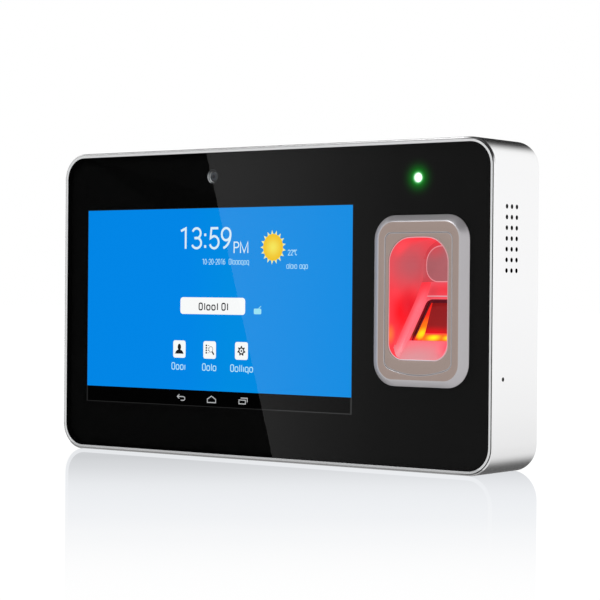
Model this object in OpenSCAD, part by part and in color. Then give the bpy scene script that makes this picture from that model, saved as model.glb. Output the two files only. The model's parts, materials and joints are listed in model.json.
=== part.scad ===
// Fingerprint scanner terminal: a touch display, a camera and an optical finger reader
// in an aluminium band, hung on a wall plate. Millimetres, +Z up, the front faces -Y.
// The origin is the centre of the footprint, on the surface that the terminal stands on.
// Depths (the y values below) are counted from the plane of the front ring, towards the back.

/* [Body] */
// Width of the aluminium band
body_w = 238; // [236:1:260]
// Height of the aluminium band
body_h = 139; // [138:1:160]
// Depth of the band, from the front ring to its rear edge
body_d = 36; // [36:0.5:44]
// Outer corner radius of the band
corner_r = 12; // [11:0.5:14]
// Wall thickness of the band
wall = 2; // [1.6:0.1:2]

/* [Display] */
// Width of the display's lit area
display_w = 153.6; // [140:0.1:154]
// Height of the display's lit area
display_h = 90; // [80:0.1:90]
// Centre of the display from the middle of the body
display_x = -29.3; // [-29.4:0.1:-28.5]
// Height of the display's centre
display_z = 67.6; // [66:0.1:69]

/* [Finger reader] */
// Width of the reader's bezel where it meets the glass
bezel_w = 47.2; // [46:0.1:49]
// Height of the reader's bezel where it meets the glass
bezel_h = 71.6; // [71:0.1:74]
// How far the bezel stands proud of the front ring
bezel_proud = 2.6; // [2:0.1:4]
// Centre of the reader from the middle of the body
reader_x = 83.9; // [83:0.1:85]
// Height of the reader's centre
reader_z = 71.5; // [70:0.5:73]
// Lean of the finger ramp from the vertical, in degrees
ramp_lean = 39.5; // [38:0.5:40]

/* [Moving parts] */
// How far the terminal lifts to come off its wall plate
lift_travel = 10; // [9:0.5:10]
// Travel of the tamper plunger
tamper_travel = 2.5; // [1:0.5:2.5]
// How far the tamper plunger stands out behind the wall plate
tamper_proud = 1.8; // [1:0.1:2.4]

/* [Hidden] */
$fn = 48;
// Which node is drawn: all of them, or one name from the list
// Half of the whole depth, so that the bounding box is centred on the origin
mid_y = (body_d + tamper_proud - bezel_proud) / 2;
centre_z = body_h / 2;

// Front stack, as depths
rim_total = 2;
glass_y = [0.15, 2.15];
ink_y = [2.15, 2.3];
ring_back = 3.9;
shoulder_y = 4;
glass_w = body_w - 2 * rim_total - 0.3;
glass_h = body_h - 2 * rim_total - 0.3;
glass_r = corner_r - rim_total - 0.15;
web_y = [7, 9];

// Display module outline and depths
lcd_w = display_w + 8;
lcd_h = display_h + 14;
lcd_y = [2.35, 6.7];

// Camera and status light
camera_x = -30.2;
camera_z = body_h - 12.5;
light_x = 80.5;
light_z = body_h - 16;

// Finger reader
neck_w = bezel_w - 3.6;
neck_h = bezel_h - 3.6;
seam_w = 33.3;
seam_r = 3;
seam_arc_r = 42.5;
window_w = 28.6;
window_h = 50.4;
window_z = reader_z + 1;
window_foot = window_z - window_h / 2;
pocket_back = 23.5;
ramp_start = -1.8;
prism_foot = 7.2;
prism_rise = 16.5;
prism_w = 16.8;
guide_wall = 1.6;

// Electronics
board_y = [13.6, 15.2];
board_x = [-104, 48];
board_z = [55, 118];
speaker_z = 97.45;
hole_pitch = 4.38;
hole_r = 0.98;
speaker_hole_depths = [9.9, 13.85, 17.8];
pin_hole_y = 7.9;
pin_hole_z = 39.8;

// Rear
cover_y = [body_d - 2.5, body_d - 0.5];
pan_y = [body_d - 7.5, body_d - 5.5];
pan_w = 194;
pan_z = [14, 124];
bay_w = 124;
bay_z = [18, 54];
bay_floor = 13.7;
plate_w = 192;
plate_z = [25, 123.5];
plate_y = [body_d - 4.8, body_d - 3.3];
plate_notch_w = 120;
plate_notch_top = 57;
stud_x = 58;
stud_z = 90;
stud_r = 2;
wall_hole_x = 75;
wall_hole_z = [46, 106];
wall_hole_r = 2.3;
boss_places = [[-112, 12], [112, 12], [-112, 127], [112, 127], [30, 6.7], [30, 132.3]];
post_places = [[-98, 61], [42, 61], [-98, 112], [42, 112]];

// Tamper plunger, on the axis at this place
tamper_x = 0;
tamper_z = 88;
tamper_r = 2;
tamper_body_y = [board_y[1], 20];
tamper_flange_y = [27, 28];
tamper_flange_r = 3.6;
tamper_inner = tamper_body_y[1] - 1.7;

// ---------- helpers ----------

// Puts a piece that is drawn in depths into the part's frame
module placed() {
    translate([0, -mid_y, 0]) children();
}

// A flat piece between two depths, from a 2D shape in x and z
module sheet(depths) {
    rotate([90, 0, 0])
        translate([0, 0, -depths[1]])
            linear_extrude(depths[1] - depths[0]) children();
}

// A piece extruded along x, from a 2D shape in depth and z
module along_x(x0, x1) {
    translate([x0, 0, 0]) rotate([90, 0, 90]) linear_extrude(x1 - x0) children();
}

// A cylinder along the depth
module pin_y(x, z, r, depths) {
    translate([x, depths[0], z]) rotate([-90, 0, 0]) cylinder(r = r, h = depths[1] - depths[0]);
}

// A block between two corners
module block(low, high) {
    translate(low) cube(high - low);
}

// A rectangle with its own radius at the top and at the bottom corners
module rounded(w, h, top_r, foot_r) {
    difference() {
        square([w, h], center = true);
        for (side = [-1, 1], end = [-1, 1]) {
            r = end > 0 ? top_r : foot_r;
            translate([side * (w / 2 - r), end * (h / 2 - r)])
                difference() {
                    translate([side > 0 ? 0 : -r - 1, end > 0 ? 0 : -r - 1]) square(r + 1);
                    circle(r);
                }
        }
    }
}

// The same rectangle at a place in x and z
module rounded_at(x, z, w, h, r) {
    translate([x, z]) rounded(w, h, r, r);
}

// Sweeps a 2D section round the body's rectangle. The section's x counts from the centre
// of the corner arc, and its y is the depth.
module around() {
    straight = [body_w - 2 * corner_r, body_h - 2 * corner_r];
    translate([0, 0, centre_z]) rotate([90, 0, 0])
        for (i = [0:3]) {
            long = straight[i % 2] / 2;
            other = straight[(i + 1) % 2] / 2;
            rotate([0, 0, 90 * i]) {
                translate([-long, other, 0]) rotate([90, 0, 90])
                    linear_extrude(2 * long) mirror([0, 1]) children();
                translate([long, other, 0])
                    rotate_extrude(angle = 90) mirror([0, 1]) children();
            }
        }
}

// What a convex edge of radius r takes away from a section, with the edge's arc centre at the origin
module edge_cut(r, dx, dy) {
    difference() {
        translate([dx > 0 ? 0 : -r - 0.2, dy > 0 ? 0 : -r - 0.2]) square(r + 0.2);
        circle(r);
    }
}

// A pan-head screw along the depth: the head's underside is at y, the shank points to dir
module screw(x, z, y, shank_r, head_r, length, dir) {
    head_h = head_r * 0.55;
    shank = dir > 0 ? [y, y + length] : [y - length, y];
    head = dir > 0 ? [y - head_h, y] : [y, y + head_h];
    recess = dir > 0 ? [head[0] - 1, head[0] + head_h * 0.6] : [head[1] - head_h * 0.6, head[1] + 1];
    blade = head_r * 0.6;
    blade_t = head_r * 0.13;
    difference() {
        union() {
            pin_y(x, z, shank_r, shank);
            pin_y(x, z, head_r, head);
        }
        for (turn = [0, 90])
            translate([x, recess[0], z]) rotate([0, turn, 0])
                block([-blade, 0, -blade_t], [blade, recess[1] - recess[0], blade_t]);
    }
}

// ---------- band, ring and glass ----------

module shell_section() {
    inner = corner_r - wall;
    edge = 0.5;
    difference() {
        union() {
            translate([inner, shoulder_y]) square([wall, body_d - shoulder_y]);
            translate([corner_r - 0.6, 0.12]) square([0.6, shoulder_y]);
        }
        translate([corner_r - edge, 0.12 + edge]) edge_cut(edge, 1, -1);
        translate([corner_r - edge, body_d - edge]) edge_cut(edge, 1, 1);
    }
}

module screw_bosses() {
    boss_r = 3.2;
    for (p = boss_places) {
        side = abs(p[0]) > 100;
        reach = body_w / 2 - wall / 2;
        rim_low = p[1] < centre_z ? wall / 2 : p[1];
        rim_high = p[1] < centre_z ? p[1] : body_h - wall / 2;
        pin_y(p[0], p[1], boss_r, [web_y[1] + 0.2, cover_y[0] - 0.1]);
        if (side)
            block([p[0] > 0 ? p[0] : -reach, web_y[1] + 0.2, p[1] - 1.5],
                  [p[0] > 0 ? reach : p[0], cover_y[0] - 0.1, p[1] + 1.5]);
        else
            block([p[0] - 1.5, web_y[1] + 0.2, rim_low], [p[0] + 1.5, cover_y[0] - 0.1, rim_high]);
    }
}

module shell() {
    color("#f2f3f4") placed() difference() {
        union() {
            around() shell_section();
            screw_bosses();
        }
        for (p = boss_places) {
            pin_y(p[0], p[1], 1.15, [web_y[1], web_y[1] + 6]);
            pin_y(p[0], p[1], 1.15, [cover_y[0] - 10, cover_y[0] + 1]);
        }
        for (row = [-3:3], y = speaker_hole_depths)
            translate([body_w / 2 - wall - 1, y, speaker_z + row * hole_pitch])
                rotate([0, 90, 0]) cylinder(r = hole_r, h = wall + 2);
        translate([body_w / 2 - wall - 1, pin_hole_y, pin_hole_z])
            rotate([0, 90, 0]) cylinder(r = 0.9, h = wall + 2);
    }
}

module ring_section() {
    outer = corner_r - 1;
    inner = corner_r - rim_total + 0.05;
    edge = 0.15;
    difference() {
        union() {
            translate([inner, 0]) square([outer - inner, ring_back]);
            translate([inner - 1.5, 2.4]) square([2, ring_back - 2.4]);
        }
        translate([outer - edge, edge]) edge_cut(edge, 1, -1);
        translate([inner + edge, edge]) edge_cut(edge, -1, -1);
    }
}

module front_ring() {
    color("#d5d8da") placed() around() ring_section();
}

module front_outline(inset) {
    translate([0, centre_z])
        rounded(glass_w - 2 * inset, glass_h - 2 * inset, glass_r - inset, glass_r - inset);
}

module reader_cut_out(clear) {
    rounded_at(reader_x, reader_z, neck_w + 2 * clear, neck_h + 2 * clear, 8.7 + clear);
}

module front_glass() {
    color("#1a1c20", 0.35) placed() sheet(glass_y) difference() {
        front_outline(0);
        reader_cut_out(0.2);
    }
}

module ink_mask() {
    color("#08080a") placed() sheet(ink_y) difference() {
        front_outline(0.3);
        reader_cut_out(0.4);
        translate([display_x, display_z]) square([display_w, display_h], center = true);
        translate([camera_x, camera_z]) circle(3.3);
        translate([light_x, light_z]) circle(1.9);
    }
}

module glass_gasket() {
    color("#202124") placed() sheet([ink_y[1], ring_back]) difference() {
        front_outline(2.8);
        front_outline(5.2);
    }
}

// ---------- mid frame ----------

module mid_frame() {
    post_r = 3;
    color("#3b3e42") placed() difference() {
        union() {
            sheet(web_y) front_outline(0.1);
            sheet([shoulder_y, web_y[0]]) difference() {
                front_outline(0.1);
                front_outline(6);
            }
            for (p = post_places) pin_y(p[0], p[1], post_r, [web_y[1], board_y[0]]);
        }
        sheet([0, 12]) rounded_at(reader_x, reader_z, bezel_w + 2.8, bezel_h + 3.4, 8);
        sheet([0, 12]) rounded_at(camera_x, camera_z, 10, 9, 2);
        sheet([0, 12]) rounded_at(light_x, light_z, 14, 9, 2);
        // slots for the display's and the touch sensor's flat cables
        block([display_x - 21, 6, 59], [display_x + 21, 12, 64]);
        block([-88, 6, 100], [-66, 12, 106]);
        // room for the reset switch behind its pin hole
        block([100, 3, pin_hole_z - 7.5], [body_w / 2, 12, pin_hole_z + 7.5]);
        for (p = boss_places) pin_y(p[0], p[1], 1.4, [3, 10]);
        for (p = boss_places) pin_y(p[0], p[1], 2.9, [3, web_y[0]]);
        for (p = post_places) pin_y(p[0], p[1], 1.1, [web_y[1] - 1, board_y[0] + 1]);
    }
}

module frame_screws() {
    color("#9aa0a6") placed() for (p = boss_places) screw(p[0], p[1], web_y[0], 1.1, 2.2, 7, 1);
}

// ---------- display ----------

module lcd_outline(inset) {
    translate([display_x, display_z]) square([lcd_w - 2 * inset, lcd_h - 2 * inset], center = true);
}

module lcd_frame() {
    back_t = 0.3;
    color("#b9bdc1") placed() difference() {
        sheet(lcd_y) lcd_outline(0);
        sheet([lcd_y[0] - 1, lcd_y[1] - back_t]) lcd_outline(0.4);
        // the display's flat cable leaves at the foot
        block([display_x - 22, 4, display_z - lcd_h / 2 - 1],
              [display_x + 22, 8, display_z - lcd_h / 2 + 1]);
    }
}

module lcd_panel() {
    color("#101418") placed() sheet([lcd_y[0], lcd_y[0] + 1.4]) lcd_outline(1.2);
}

module backlight() {
    color("#f4f5f2") placed() difference() {
        sheet([lcd_y[0] + 1.5, lcd_y[1] - 0.35]) lcd_outline(0.8);
        // a shallow tray for the light strip along the foot
        block([display_x - 70, lcd_y[1] - 1.2, display_z - lcd_h / 2 + 2],
              [display_x + 70, lcd_y[1], display_z - lcd_h / 2 + 6]);
    }
}

// A flat cable that follows points in depth and z, between two x values
module flat_cable(x0, x1, points, t) {
    along_x(x0, x1)
        for (i = [1:len(points) - 1]) {
            a = points[i - 1];
            b = points[i];
            translate([min(a[0], b[0]), min(a[1], b[1])])
                square([abs(a[0] - b[0]) + t, abs(a[1] - b[1]) + t]);
        }
}

module lcd_flex() {
    foot = display_z - lcd_h / 2 - 0.5;
    color("#c98a2b") placed()
        flat_cable(display_x - 20, display_x + 20,
                   [[lcd_y[0] + 2.4, foot], [lcd_y[1], foot], [lcd_y[1], 61], [12.9, 61], [12.9, 68]], 0.2);
}

module touch_flex() {
    color("#c98a2b") placed()
        flat_cable(-84, -70, [[ink_y[1] + 0.05, 122], [5.6, 122], [5.6, 120.5], [6.75, 120.5],
                              [6.75, 103], [12.9, 103], [12.9, 98]], 0.15);
}

// ---------- camera and status light ----------

module camera_barrel() {
    color("#17181a") placed() difference() {
        pin_y(camera_x, camera_z, 4.2, [ink_y[1] + 0.2, 6.1]);
        pin_y(camera_x, camera_z, 3.1, [1, 3.6]);
    }
}

module camera_lens() {
    lens_r = 5.6;
    color("#3a4a66", 0.6) placed() translate([camera_x, 3.55, camera_z]) rotate([90, 0, 0])
        rotate_extrude() intersection() {
            translate([0, 0.8 - lens_r]) circle(lens_r);
            square([2.9, 0.8]);
        }
}

module camera_board() {
    color("#1f5c3a") placed() sheet([6.1, 6.9]) translate([camera_x, camera_z]) square(8, center = true);
}

module light_pipe() {
    color("#dff5e2", 0.5) placed() pin_y(light_x, light_z, 1.9, [ink_y[1] + 0.1, 5]);
}

module status_led() {
    color("#39ff6a") placed()
        block([light_x - 1.6, 5.1, light_z - 0.8], [light_x + 1.6, 6.1, light_z + 0.8]);
}

module led_board() {
    color("#1f5c3a") placed() sheet([6.1, 6.9]) translate([light_x, light_z]) square([12, 7], center = true);
}

// ---------- finger reader ----------

// Depth of the ramp's surface at a height
function ramp_depth(z) = ramp_start + (z - window_foot) * tan(ramp_lean);

module seam_outline(grow) {
    top = reader_z + 28.4;
    foot = reader_z - 30.9;
    intersection() {
        translate([reader_x, (top + foot) / 2])
            rounded(seam_w + 2 * grow, top - foot + 2 * grow, seam_r, 0.5);
        translate([reader_x, foot + seam_arc_r]) circle(seam_arc_r + grow);
    }
}

module window_outline(grow) {
    arch_r = 80;
    intersection() {
        translate([reader_x, window_z])
            rounded(window_w + 2 * grow, window_h + 2 * grow, 9.2 + grow, 6.5 + grow);
        translate([reader_x, window_z + window_h / 2 - arch_r]) circle(arch_r + grow);
    }
}

module fp_bezel() {
    side_bevel = 3.4;
    end_bevel = 2.65;
    land = 0.3;
    color("#a79d95") placed() difference() {
        union() {
            hull() {
                sheet([glass_y[0] - land, glass_y[0]])
                    rounded_at(reader_x, reader_z, bezel_w, bezel_h, 10.5);
                sheet([-bezel_proud, -bezel_proud + 0.02])
                    rounded_at(reader_x, reader_z, bezel_w - 2 * side_bevel, bezel_h - 2 * end_bevel, 7.4);
            }
            sheet([glass_y[0] - 0.1, 4]) reader_cut_out(0);
        }
        sheet([-bezel_proud - 1, 5]) seam_outline(0);
        for (side = [-1, 1], end = [-1, 1])
            pin_y(reader_x + side * 19.2, reader_z + end * 22, 0.9, [0.6, 5]);
    }
}

module fp_inlay() {
    color("#9d9188") placed() difference() {
        sheet([0.15 - bezel_proud, 3.6]) seam_outline(-0.15);
        sheet([-bezel_proud - 1, -1.1]) window_outline(0.65);
        sheet([-1.2, 5]) window_outline(1.75);
    }
}

// The space in front of the ramp and the back wall, as a section in depth and z
module pocket_section(back) {
    top = window_z + window_h;
    turn_z = window_foot + (pocket_back - ramp_start) / tan(ramp_lean);
    polygon([[-20, window_foot - 25 / tan(ramp_lean)], [ramp_depth(window_foot) + back, window_foot],
             [pocket_back + back, turn_z], [pocket_back + back, top], [-20, top]]);
}

module fp_guide() {
    rail_rise = 1.3;
    cell_foot = window_foot + prism_foot;
    color("#e0313a", 0.8) placed() difference() {
        intersection() {
            union() {
                sheet([0.2 - bezel_proud, -1.2]) window_outline(0.6);
                sheet([-1.2, pocket_back + 1.5]) window_outline(guide_wall);
            }
            along_x(reader_x - 30, reader_x + 30) pocket_section(2.1);
        }
        // the finger's space, between two raised rails
        intersection() {
            sheet([-5, pocket_back + 1]) window_outline(0);
            along_x(reader_x - 30, reader_x + 30) pocket_section(-rail_rise);
        }
        intersection() {
            sheet([-5, pocket_back + 1]) window_outline(0);
            along_x(reader_x - 11, reader_x + 11) pocket_section(0);
        }
        // the window over the prism
        translate([reader_x, 0, 0])
            block([-prism_w / 2, ramp_depth(cell_foot) - 4, cell_foot],
                  [prism_w / 2, pocket_back, cell_foot + prism_rise]);
    }
}

module fp_prism() {
    foot = window_foot + prism_foot;
    gap = 0.9;
    low_y = ramp_depth(foot) + gap;
    high_y = ramp_depth(foot + prism_rise) + gap;
    color("#8c1414", 0.8) placed()
        along_x(reader_x - prism_w / 2 + 0.1, reader_x + prism_w / 2 - 0.1)
            polygon([[low_y, foot + 0.1], [high_y, foot + prism_rise - 0.2], [high_y, foot + 0.1]]);
}

module fp_leds() {
    foot = window_foot + prism_foot;
    color("#ffb000") placed() for (i = [-1:1])
        block([reader_x + i * 5.5 - 1.4, 10, foot - 1.6], [reader_x + i * 5.5 + 1.4, 13, foot - 0.2]);
}

module fp_led_board() {
    foot = window_foot + prism_foot;
    color("#1f5c3a") placed() block([reader_x - 10.5, 8, foot - 2.6], [reader_x + 10.5, 18.5, foot - 1.6]);
}

module fp_lens() {
    color("#26282b") placed() difference() {
        pin_y(reader_x, 60, 4.2, [19.5, 25.3]);
        pin_y(reader_x, 60, 2.6, [19, 23]);
    }
}

module fp_sensor_board() {
    color("#1f5c3a") placed() sheet([25.4, 26.4])
        translate([reader_x, 61]) square([31, 26], center = true);
}

module fp_housing() {
    box_w = window_w + 6.2;
    box_h = window_h + 8.2;
    skin = 1.2;
    color("#232528") placed() difference() {
        union() {
            sheet([4.2, 6]) rounded_at(reader_x, reader_z, bezel_w + 1.8, bezel_h + 2.4, 8);
            sheet([5.9, 27.8]) rounded_at(reader_x, window_z, box_w, box_h, 6);
        }
        sheet([4, 26.6]) rounded_at(reader_x, window_z, box_w - 2 * skin, box_h - 2 * skin, 4.8);
        for (side = [-1, 1], end = [-1, 1])
            pin_y(reader_x + side * 19.2, reader_z + end * 22, 1.2, [4, 7]);
        // the sensor's cable leaves here
        block([reader_x - 8, 27, 50], [reader_x + 8, 29, 52]);
    }
}

module fp_gasket() {
    color("#17181a") placed() sheet([ink_y[1], 4.1]) difference() {
        rounded_at(reader_x, reader_z, bezel_w + 1.2, bezel_h + 1.6, 8);
        reader_cut_out(0.3);
    }
}

module fp_screws() {
    color("#9aa0a6") placed() for (side = [-1, 1], end = [-1, 1])
        screw(reader_x + side * 19.2, reader_z + end * 22, 6.02, 0.85, 1.5, 4.4, -1);
}

// ---------- main board ----------

module main_board() {
    color("#1c6b45") placed() sheet(board_y) difference() {
        translate([board_x[0], board_z[0]]) square([board_x[1] - board_x[0], board_z[1] - board_z[0]]);
        for (p = post_places) translate(p) circle(1.4);
    }
}

module board_screws() {
    color("#9aa0a6") placed() for (p = post_places) screw(p[0], p[1], board_y[1], 1.05, 2.1, 5.4, -1);
}

module on_board(low, high, tall) {
    block([low[0], board_y[1], low[1]], [high[0], board_y[1] + tall, high[1]]);
}

module processor() {
    color("#2a2b2e") placed() on_board([-77.5, 88], [-60.5, 105], 1.4);
}

module shield_can() {
    color("#c6cacd") placed() difference() {
        on_board([-84, 82], [-54, 111], 2.8);
        block([-83.7, board_y[1] - 1, 82.3], [-54.3, board_y[1] + 2.5, 110.7]);
    }
}

module memory_chips() {
    color("#2a2b2e") placed() for (i = [0:1], j = [0:1])
        on_board([-50 + i * 14, 86 + j * 12], [-39 + i * 14, 95 + j * 12], 1.1);
}

module inductors() {
    color("#4a4c50") placed() for (i = [0:2])
        on_board([-96 + i * 11, 70], [-88 + i * 11, 78], 4);
}

module capacitors() {
    color("#30343a") placed() for (i = [0:2])
        pin_y(-60 + i * 11, 75, 4, [board_y[1], board_y[1] + 9]);
}

module relay() {
    color("#2c5fa8") placed() on_board([-26, 70], [-6, 80], 10.5);
}

module coin_cell() {
    color("#c6cacd") placed() union() {
        pin_y(28, 98, 10, [board_y[1] + 1, board_y[1] + 4.2]);
        on_board([16, 94], [40, 102], 1);
    }
}

module radio_antenna() {
    color("#1c6b45") placed() sheet([9.1, 9.5]) translate([-70, 126]) square([46, 8], center = true);
}

module ethernet_jack() {
    x0 = -52;
    color("#c6cacd") placed() difference() {
        block([x0, board_y[1] + 0.1, bay_z[1] - 1.4], [x0 + 16, board_y[1] + 13, bay_z[1] + 17]);
        block([x0 + 2, board_y[1] + 2.5, bay_z[1] - 3], [x0 + 14, board_y[1] + 9.5, bay_z[1] + 12]);
    }
}

module usb_port() {
    x0 = -29;
    color("#c6cacd") placed() difference() {
        block([x0, board_y[1] + 0.1, bay_z[1] - 1.4], [x0 + 14, board_y[1] + 7.1, bay_z[1] + 13]);
        block([x0 + 0.7, board_y[1] + 0.9, bay_z[1] - 3], [x0 + 13.3, board_y[1] + 6.2, bay_z[1] + 10]);
    }
}

module dc_jack() {
    x0 = -9;
    color("#1d1e20") placed() union() {
        difference() {
            block([x0, board_y[1] + 0.1, bay_z[1] - 1.4], [x0 + 9, board_y[1] + 11, bay_z[1] + 12]);
            translate([x0 + 4.5, board_y[1] + 6.4, bay_z[1] - 3]) cylinder(r = 2.8, h = 12);
        }
        translate([x0 + 4.5, board_y[1] + 6.4, bay_z[1] - 0.6]) cylinder(r = 0.9, h = 11);
    }
}

module terminal_block() {
    ways = 8;
    pitch = 3.81;
    x0 = 8;
    color("#3f9a4f") placed() difference() {
        block([x0, board_y[1] + 0.1, bay_z[1] - 3.2], [x0 + ways * pitch + 1, board_y[1] + 9, bay_z[1] + 8]);
        for (i = [0:ways - 1]) {
            x = x0 + 0.5 + (i + 0.5) * pitch;
            translate([x, board_y[1] + 3.4, bay_z[1] - 4]) cylinder(r = 1.2, h = 6);
            pin_y(x, bay_z[1] - 0.6, 1.3, [board_y[1] + 6.5, board_y[1] + 10]);
        }
    }
}

module battery() {
    color("#8b97a6") placed() sheet([web_y[1] + 0.2, web_y[1] + 7.4]) rounded_at(86, 19, 42, 25, 2.5);
}

// ---------- speaker and reset switch ----------

module speaker_outline(inset) {
    translate([13.9, speaker_z]) rounded(9.6 - 2 * inset, 31 - 2 * inset, 4 - inset, 4 - inset);
}

module speaker_frame() {
    back = body_w / 2 - wall - 6.9;
    front = body_w / 2 - wall - 0.9;
    color("#2a2c30") placed() difference() {
        union() {
            along_x(back, front) speaker_outline(0);
            along_x(back - 2, back + 0.1) translate([13.9, speaker_z]) square([8, 14], center = true);
        }
        along_x(front - 2.2, front + 1) speaker_outline(0.8);
    }
}

module speaker_cone() {
    front = body_w / 2 - wall - 0.9;
    color("#44474c") placed() union() {
        along_x(front - 2, front - 1.6) speaker_outline(1.1);
        translate([front - 1.7, 13.9, speaker_z]) rotate([0, 90, 0]) rotate_extrude()
            intersection() {
                translate([0, -2.2]) circle(3.3);
                square([2.4, 1.2]);
            }
    }
}

module speaker_gasket() {
    front = body_w / 2 - wall - 0.9;
    color("#17181a") placed() along_x(front, front + 0.5) difference() {
        speaker_outline(0);
        speaker_outline(0.7);
    }
}

module speaker_mesh() {
    color("#101112") placed() along_x(body_w / 2 - wall - 0.35, body_w / 2 - wall - 0.05) speaker_outline(0);
}

// The reset switch stands behind its pin hole, which a straightened clip reaches through
switch_face = body_w / 2 - wall - 3.6;

module reset_board() {
    color("#1f5c3a") placed()
        block([switch_face - 4.4, 4.3, pin_hole_z - 6], [switch_face - 3.2, 16, pin_hole_z + 6]);
}

module reset_switch() {
    color("#3a3c40") placed() difference() {
        block([switch_face - 3.2, pin_hole_y - 3, pin_hole_z - 3],
              [switch_face, pin_hole_y + 3, pin_hole_z + 3]);
        translate([switch_face - 2, pin_hole_y, pin_hole_z]) rotate([0, 90, 0]) cylinder(r = 1.65, h = 4);
    }
}

module reset_plunger() {
    color("#c9b458") placed()
        translate([switch_face - 1.4, pin_hole_y, pin_hole_z]) rotate([0, 90, 0]) cylinder(r = 1.6, h = 3);
}

// ---------- rear ----------

module pan_block(depths, grow) {
    height = pan_z[1] - pan_z[0];
    sheet(depths) rounded_at(0, (pan_z[0] + pan_z[1]) / 2, pan_w + 2 * grow, height + 2 * grow, 4 + grow);
}

module bay_block(depths, grow) {
    block([-bay_w / 2 - grow, depths[0], bay_z[0] - grow], [bay_w / 2 + grow, depths[1], bay_z[1] + grow]);
}

module back_cover() {
    skin = 1.5;
    color("#2b2d31") placed() difference() {
        union() {
            sheet(cover_y) front_outline(0.2);
            pan_block([pan_y[0], cover_y[1]], 2);
            bay_block([bay_floor, pan_y[1]], skin);
        }
        pan_block([pan_y[1], body_d + 1], 0);
        bay_block([bay_floor + skin, body_d], 0);
        for (p = boss_places) pin_y(p[0], p[1], 1.5, [cover_y[0] - 1, body_d]);
        // windows for the sockets
        block([-52.3, bay_floor + skin, bay_z[1] - 1], [-35.7, pan_y[0] - 0.1, bay_z[1] + 3]);
        block([-29.3, bay_floor + skin, bay_z[1] - 1], [-14.7, 22.5, bay_z[1] + 3]);
        block([-9.3, bay_floor + skin, bay_z[1] - 1], [0.3, 26.5, bay_z[1] + 3]);
        block([7.7, bay_floor + skin, bay_z[1] - 1], [39.8, 24.4, bay_z[1] + 3]);
        // room for the main board's lower edge
        block([board_x[0] - 1, bay_floor - 1, bay_z[1] + 0.4],
              [board_x[1] + 1, board_y[1] + 0.1, bay_z[1] + 3]);
        pin_y(tamper_x, tamper_z, tamper_r + 0.08, [pan_y[0] - 1, body_d]);
        for (side = [-1, 1]) pin_y(side * stud_x, stud_z, 1.5, [pan_y[0] - 1, body_d]);
        // vent slots
        for (i = [-5:5]) block([i * 9 - 2.5, pan_y[0] - 1, 104], [i * 9 + 2.5, body_d, 106]);
    }
}

module cover_screws() {
    color("#9aa0a6") placed() for (p = boss_places) screw(p[0], p[1], cover_y[1], 1.1, 2.6, 9, -1);
}

module hanger_studs() {
    head_r = 4;
    color("#b9bdc1") placed() for (side = [-1, 1]) {
        x = side * stud_x;
        pin_y(x, stud_z, 1.45, [pan_y[0] - 2, pan_y[1]]);
        pin_y(x, stud_z, 3.2, [pan_y[0] - 1.2, pan_y[0]]);
        pin_y(x, stud_z, stud_r, [pan_y[1], plate_y[1] + 0.3]);
        pin_y(x, stud_z, head_r, [plate_y[1] + 0.3, plate_y[1] + 1.5]);
    }
}

module tamper_switch() {
    color("#1d1e20") placed() difference() {
        block([tamper_x - 4.5, tamper_body_y[0], tamper_z - 4],
              [tamper_x + 4.5, tamper_body_y[1], tamper_z + 4]);
        pin_y(tamper_x, tamper_z, tamper_r + 0.05,
              [tamper_inner - tamper_travel - 0.2, tamper_body_y[1] + 1]);
    }
}

module tamper_plunger() {
    tip = 0.5;
    back = body_d + tamper_proud;
    color("#e8e4da") placed() union() {
        pin_y(tamper_x, tamper_z, tamper_r, [tamper_inner, back - tip]);
        pin_y(tamper_x, tamper_z, tamper_flange_r, tamper_flange_y);
        pin_y(tamper_x, tamper_z, tamper_r - 0.5, [back - tip, back]);
    }
}

// One point of the spring's wire: t counts turns from the switch's end, a goes round the wire
function coil_point(t, a, turns, mean_r, wire_r, low, high) =
    let (z = low + wire_r + (high - low - 2 * wire_r) * t / turns, r = mean_r + wire_r * cos(a))
    [r * cos(360 * t), r * sin(360 * t), z + wire_r * sin(a)];

module tamper_spring() {
    turns = 4;
    steps = 20;
    sides = 8;
    rings = turns * steps;
    wire_r = 0.25;
    low = tamper_body_y[1] + 0.05;
    high = tamper_flange_y[0] - 0.05;
    points = [for (i = [0:rings], j = [0:sides - 1])
        coil_point(i / steps, 360 * j / sides, turns, 2.8, wire_r, low, high)];
    tube = [for (i = [0:rings - 1], j = [0:sides - 1])
        let (a = i * sides + j, b = i * sides + (j + 1) % sides)
        [a, b, b + sides, a + sides]];
    first = [[for (j = [sides - 1:-1:0]) j]];
    last = [[for (j = [0:sides - 1]) rings * sides + j]];
    color("#c9ccd0") placed() translate([tamper_x, 0, tamper_z]) rotate([-90, 0, 0])
        polyhedron(points, concat(tube, first, last), convexity = 8);
}

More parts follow.
